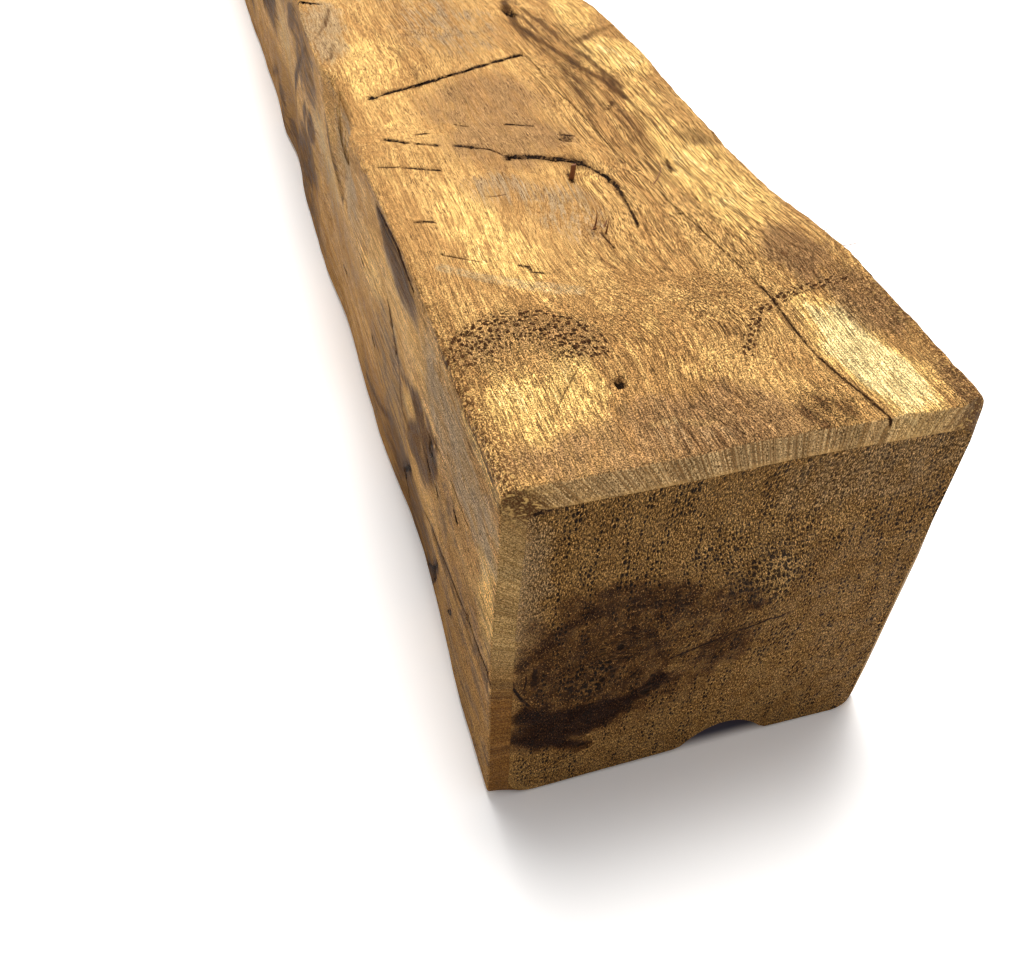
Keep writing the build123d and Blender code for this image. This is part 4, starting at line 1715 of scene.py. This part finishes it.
        # Pores: in columns, closer where the wood is open, and filled where it is grey
        thick = w.attribute("comb")
        columns = w.noise(w.combine(flow, run * 0.05, 3.0), (4.0, 1.6, 1.0), 1.0).remap(
            0.49, 0.56, 0.06, 1.0)
        pore = w.spots(where, (1.9, 3.4, 1.0), 0.23, 0.9, 0.6) * (
            w.math("MAXIMUM", columns, thick))
        big = w.spots(where, (2.7, 4.4, 1.0), 0.25, 0.8, 0.8) * thick.remap(0.55, 0.95)
        pore = w.math("MAXIMUM", pore, big) * (1.0 - w.attribute("grey") * 0.9)
        small = w.spots(where, (0.95, 2.1, 1.0), 0.22, 0.7, 1.0)
        colour = colour.toward(self.end_black, small * 0.5)
        colour = colour.toward(self.black, pore * 0.95)
        colour = colour.scaled((0.87 + nib.around(1.3)) * (1.0 + grit.around(1.25)))
        height = grit * 0.28 + nib * 0.26 - pore * 0.55 - small * 0.25
        return colour, height


@dataclass(frozen=True)
class Sliver:
    """A splinter or fibre: its foot on a face, its tip's offset, its half-widths across and
    through, how far it bows, and how much of its width its tip keeps."""

    side: Side
    place: float
    across: float
    tip: tuple
    width: float
    thickness: float
    bow: tuple = (0.0, 0.0, 0.0)
    blunt: float = 0.15


@dataclass
class Splinters:
    """A standing stub and slivers on the top face, whiskers on the back arris and a few fibres."""

    form: HewnForm
    slivers: tuple = (
        Sliver(Side.TOP, 200, 96, (1.0, 0.4, 8.0), 1.45, 0.55, (0.4, 0.0, 0.0), 0.85),
        Sliver(Side.TOP, 202, 97, (0.4, 1.2, 7.0), 0.9, 0.4, (0.0, 0.0, 0.0), 0.6),
        Sliver(Side.TOP, 185, 132, (-23.0, 12.0, 0.6), 0.24, 0.24, (0.0, 3.2, 1.0), 0.8),
        Sliver(Side.TOP, 148, 94, (0.4, 0.6, 7.5), 0.5, 0.35, (0.4, 0.0, 0.0)),
        Sliver(Side.TOP, 153, 90, (-0.8, 1.0, 9.5), 0.55, 0.35, (0.0, 0.8, 0.0)),
        Sliver(Side.TOP, 154, 92, (5.0, -5.0, 1.5), 0.4, 0.3, (0.0, 0.0, 1.0)),
        Sliver(Side.TOP, 153, 95, (-6.0, 4.5, 1.2), 0.4, 0.3, (0.0, 0.0, 1.0)),
    )
    whiskers: tuple = (
        (112, 20.0, 7.0, 4.0), (127, 5.0, 2.0, 1.0), (90, 4.0, 1.5, 0.6), (104, 7.0, 2.0, -1.0),
        (372, 9.0, 4.0, 2.0), (392, 12.0, 5.0, -2.0), (60, 3.0, 1.0, 0.5), (70, 2.5, 0.6, 1.5),
    )
    sides: int = 6
    sections: int = 6
    fuzz_count: int = 240

    def feet(self, place: np.ndarray, across: np.ndarray) -> np.ndarray:
        """Points of the top face, bites and all, sunk a little into the wood.

        Args:
            place: Distances from the near end.
            across: Distances over the top.

        Returns:
            Points shaped (..., 3).
        """
        points = np.stack([
            LENGTH / 2 - place, across - DEPTH / 2, self.form.top_level(place, across) - 0.4,
        ], axis=-1)
        return self.form.bitten(points, np.broadcast_to([0.0, 0.0, -1.0], points.shape))

    def tubes(self, feet: np.ndarray, tips: np.ndarray, bows: np.ndarray,
              sizes: np.ndarray) -> tuple:
        """Tapered flat tubes on bowed paths: foot plus share of the tip's offset plus a parabola.

        Args:
            feet: Foot points, shaped (count, 3).
            tips: Offsets of the tips, shaped (count, 3).
            bows: How far each path bows out half-way, shaped (count, 3).
            sizes: Half-width, half-thickness and bluntness, shaped (count, 3).

        Returns:
            Vertices shaped (n, 3) and faces as index lists.
        """
        count = len(feet)
        share = np.linspace(0.0, 1.0, self.sections)
        path = feet[:, None] + tips[:, None] * share[None, :, None] + bows[:, None] * (
            4 * share * (1 - share))[None, :, None]
        heading = tips / np.linalg.norm(tips, axis=1, keepdims=True)
        helper = np.where(np.abs(heading[:, :1]) > 0.8, [[0.0, 0.0, 1.0]], [[1.0, 0.0, 0.0]])
        side = np.cross(heading, helper)
        side /= np.linalg.norm(side, axis=1, keepdims=True)
        other = np.cross(heading, side)
        turn = np.linspace(0.0, 2 * np.pi, self.sides, endpoint=False)
        rim = side[:, None] * (sizes[:, :1] * np.cos(turn))[..., None] + (
            other[:, None] * (sizes[:, 1:2] * np.sin(turn))[..., None])
        taper = 1.0 - (1.0 - sizes[:, 2:3]) * share[None, :] ** 1.5
        points = path[:, :, None] + rim[:, None] * taper[:, :, None, None]
        vertices = points.reshape(-1, 3)
        number = np.arange(len(vertices)).reshape(count, self.sections, self.sides)
        after = np.roll(number, -1, axis=2)
        quads = np.stack(
            [number[:, :-1], after[:, :-1], after[:, 1:], number[:, 1:]], axis=-1).reshape(-1, 4)
        caps = [ring[::-1] for ring in number[:, 0].tolist()] + number[:, -1].tolist()
        return vertices, quads.tolist() + caps

    def build(self) -> bpy.types.Object:
        """Makes all splinters as one mesh.

        Returns:
            The splinters' object.
        """
        rng = np.random.default_rng(77)
        feet = [self.feet(np.array([s.place], float), np.array([s.across], float))[0]
                for s in self.slivers]
        tips = [s.tip for s in self.slivers]
        bows = [s.bow for s in self.slivers]
        sizes = [(s.width, s.thickness, s.blunt) for s in self.slivers]
        for place, out, up, along in self.whiskers:
            foot = self.feet(np.array([place], float), np.array([DEPTH - 5.0]))[0]
            feet.append(foot + np.array([0.0, 3.0, -1.0]))
            tips.append((along, out * 0.6, up))
            bows.append((0.0, out * 0.08, -out * 0.08))
            sizes.append((0.2, 0.2, 0.2))
        count = self.fuzz_count
        place = rng.uniform(1.0, 300.0, count)
        front = rng.random(count) < 0.78
        across = np.where(front, rng.uniform(1.0, 5.0, count), DEPTH - rng.uniform(1.0, 4.0, count))
        lean = rng.uniform(-1.0, 1.0, (count, 3)) * np.array([3.0, 0.5, 0.2])
        lean[:, 1] += np.where(front, -0.5, 0.4) * rng.uniform(0.0, 1.0, count)
        lean[:, 2] += rng.uniform(0.35, 0.8, count)
        thin = rng.uniform(0.07, 0.14, count)
        vertices, faces = self.tubes(
            np.concatenate([np.array(feet), self.feet(place, across)]),
            np.concatenate([np.array(tips, float), lean]),
            np.concatenate([np.array(bows, float), rng.uniform(-0.3, 0.3, (count, 3))]),
            np.concatenate([np.array(sizes), np.stack([thin, thin, 0.0 * thin + 0.2], axis=-1)]),
        )
        mesh = bpy.data.meshes.new("splinters")
        mesh.from_pydata((vertices * MILLIMETRE).tolist(), [], faces)
        mesh.update()
        piece = bpy.data.objects.new("splinters", mesh)
        bpy.context.scene.collection.objects.link(piece)
        return piece


@dataclass(frozen=True)
class SplinterWood:
    """Rusty brown raw wood of the standing splinters and paler fibres."""

    rusty: tuple = (0.24, 0.085, 0.028)
    straw: tuple = (0.50, 0.33, 0.14)
    streaks: tuple = (0.05, 0.02, 0.01)

    def make(self) -> bpy.types.Material:
        """Builds the material: rusty in the big splinters, straw and brown by turns elsewhere.

        Returns:
            The splinters' material.
        """
        w = Wiring(bpy.data.materials.new("splinter_wood"))
        spot, (_, y, _) = w.point()
        mix = w.noise(spot, (9, 9, 9), 2.0).remap(0.42, 0.58)
        colour = w.blend(abs(y).remap(80.0, 88.0), self.rusty,
                         w.blend(mix, self.rusty, self.straw))
        streak = w.noise(spot, (0.5, 0.5, 3.0), 2.0)
        colour = colour.toward(self.streaks, streak * 0.4)
        return w.wood(colour, streak, 0.3 * MILLIMETRE, 0.5, {"Roughness": 0.7})


@dataclass
class Studio:
    """The camera, the pale floor with painted shade under the beam, and the soft light from above.
    """

    camera_place: tuple = (971.269, -161.788, 414.270)
    camera_forward: tuple = (-0.684041, 0.229310, -0.692463)
    camera_up: tuple = (-0.668822, 0.181734, 0.720868)
    focal_pixels: float = 969.907
    picture_width: float = 1024.0
    sensor: float = 36.0
    floor_colour: tuple = (0.97, 0.97, 0.97)
    floor_seen: tuple = (1.25, 1.25, 1.27)
    # Painted shade: the floor's colour inside the beam's footprint
    floor_painted_shade: tuple = (0.10, 0.10, 0.15)
    floor_reach: float = 14.0
    floor_drop: float = 0.0002
    lamp_place: tuple = (-0.30, 0.30, 2.8)
    lamp_target: tuple = (0.45, 0.0, 0.1)
    lamp_size: float = 1.6
    lamp_power: float = 112.0
    lamp_colour: tuple = (1.0, 0.98, 0.94)
    sky_colour: tuple = (1.0, 0.98, 0.96)
    world_strength: float = 0.46

    def place_camera(self) -> bpy.types.Object:
        """Makes the camera from its forward and up directions, and makes it the scene's.

        Returns:
            The camera.
        """
        forward = Vector(self.camera_forward).normalized()
        up = Vector(self.camera_up)
        right = forward.cross(up).normalized()
        up = right.cross(forward)
        lens = bpy.data.cameras.new("camera")
        lens.sensor_width = self.sensor
        lens.lens = self.focal_pixels / self.picture_width * self.sensor
        lens.clip_start = 0.01
        lens.clip_end = 60.0
        camera = bpy.data.objects.new("camera", lens)
        turn = Matrix((right, up, -forward)).transposed().to_4x4()
        camera.matrix_world = Matrix.Translation(Vector(self.camera_place) * MILLIMETRE) @ turn
        bpy.context.scene.collection.objects.link(camera)
        bpy.context.scene.camera = camera
        return camera

    def lay_floor(self) -> bpy.types.Object:
        """Makes the floor, a wide plane just under the beam, with painted shade where the beam lies
        on it.

        Returns:
            The floor.
        """
        mesh = bpy.data.meshes.new("floor")
        reach = self.floor_reach
        corners = [(-reach, -reach), (reach, -reach), (reach, reach), (-reach, reach)]
        mesh.from_pydata([(a, b, -self.floor_drop) for a, b in corners], [], [(0, 1, 2, 3)])
        floor = bpy.data.objects.new("floor", mesh)
        bpy.context.scene.collection.objects.link(floor)
        w = Wiring(bpy.data.materials.new("pale_floor"))
        plain, seen = w.node("ShaderNodeBsdfDiffuse"), w.node("ShaderNodeBsdfDiffuse")
        w.feed(plain.inputs["Color"], self.floor_colour)
        _, (x, y, _) = w.point()
        # Painted shade: to the camera the floor is dark blue-grey inside the beam's footprint, as
        # the shade under it
        under = abs(x).remap(763.0, 756.0) * abs(y).remap(87.0, 80.0)
        w.feed(seen.inputs["Color"], w.blend(under, self.floor_seen, self.floor_painted_shade))
        floor.data.materials.append(w.finish(w.by_camera(plain, seen)))
        return floor

    def hang_light(self) -> None:
        """Hangs one large lamp above and a little behind the beam, and lights the world."""
        lamp = bpy.data.lights.new("window", "AREA")
        lamp.energy = self.lamp_power
        lamp.size = self.lamp_size
        lamp.color = self.lamp_colour
        holder = bpy.data.objects.new("window", lamp)
        aim = Vector(self.lamp_target) - Vector(self.lamp_place)
        holder.rotation_euler = aim.to_track_quat("-Z", "Y").to_euler()
        holder.location = self.lamp_place
        bpy.context.scene.collection.objects.link(holder)
        world = bpy.data.worlds.new("sky")
        bpy.context.scene.world = world
        w = Wiring(world)
        dim, white = w.node("ShaderNodeBackground"), w.node("ShaderNodeBackground")
        w.feed(dim.inputs["Color"], self.sky_colour)
        w.feed(dim.inputs["Strength"], self.world_strength)
        w.feed(white.inputs["Color"], (1.0, 1.0, 1.0))
        w.finish(w.by_camera(dim, white))

    def set_up(self) -> None:
        """Places the camera, floor and light, and keeps colours plain."""
        bpy.context.scene.view_settings.view_transform = "Standard"
        self.place_camera()
        self.lay_floor()
        self.hang_light()


def show(piece: bpy.types.Object, finish: bpy.types.Material) -> None:
    """Dresses a piece, fixes it to the beam's one body and reports it.

    Args:
        piece: The piece.
        finish: Its material.
    """
    piece.data.materials.append(finish)
    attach(piece, "root")
    log.info("%s: %d faces", piece.name, len(piece.data.polygons))


def main() -> None:
    """Builds the studio and the beam's pieces in order."""
    logging.basicConfig(level=logging.INFO, format="%(message)s")
    Studio().set_up()
    form = HewnForm()
    timber = HewnBeam(form).build()
    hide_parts("hewn_beam")
    show(timber, HoneyWood().make())
    show(Splinters(form).build(), SplinterWood().make())


if __name__ == "__main__":
    main()
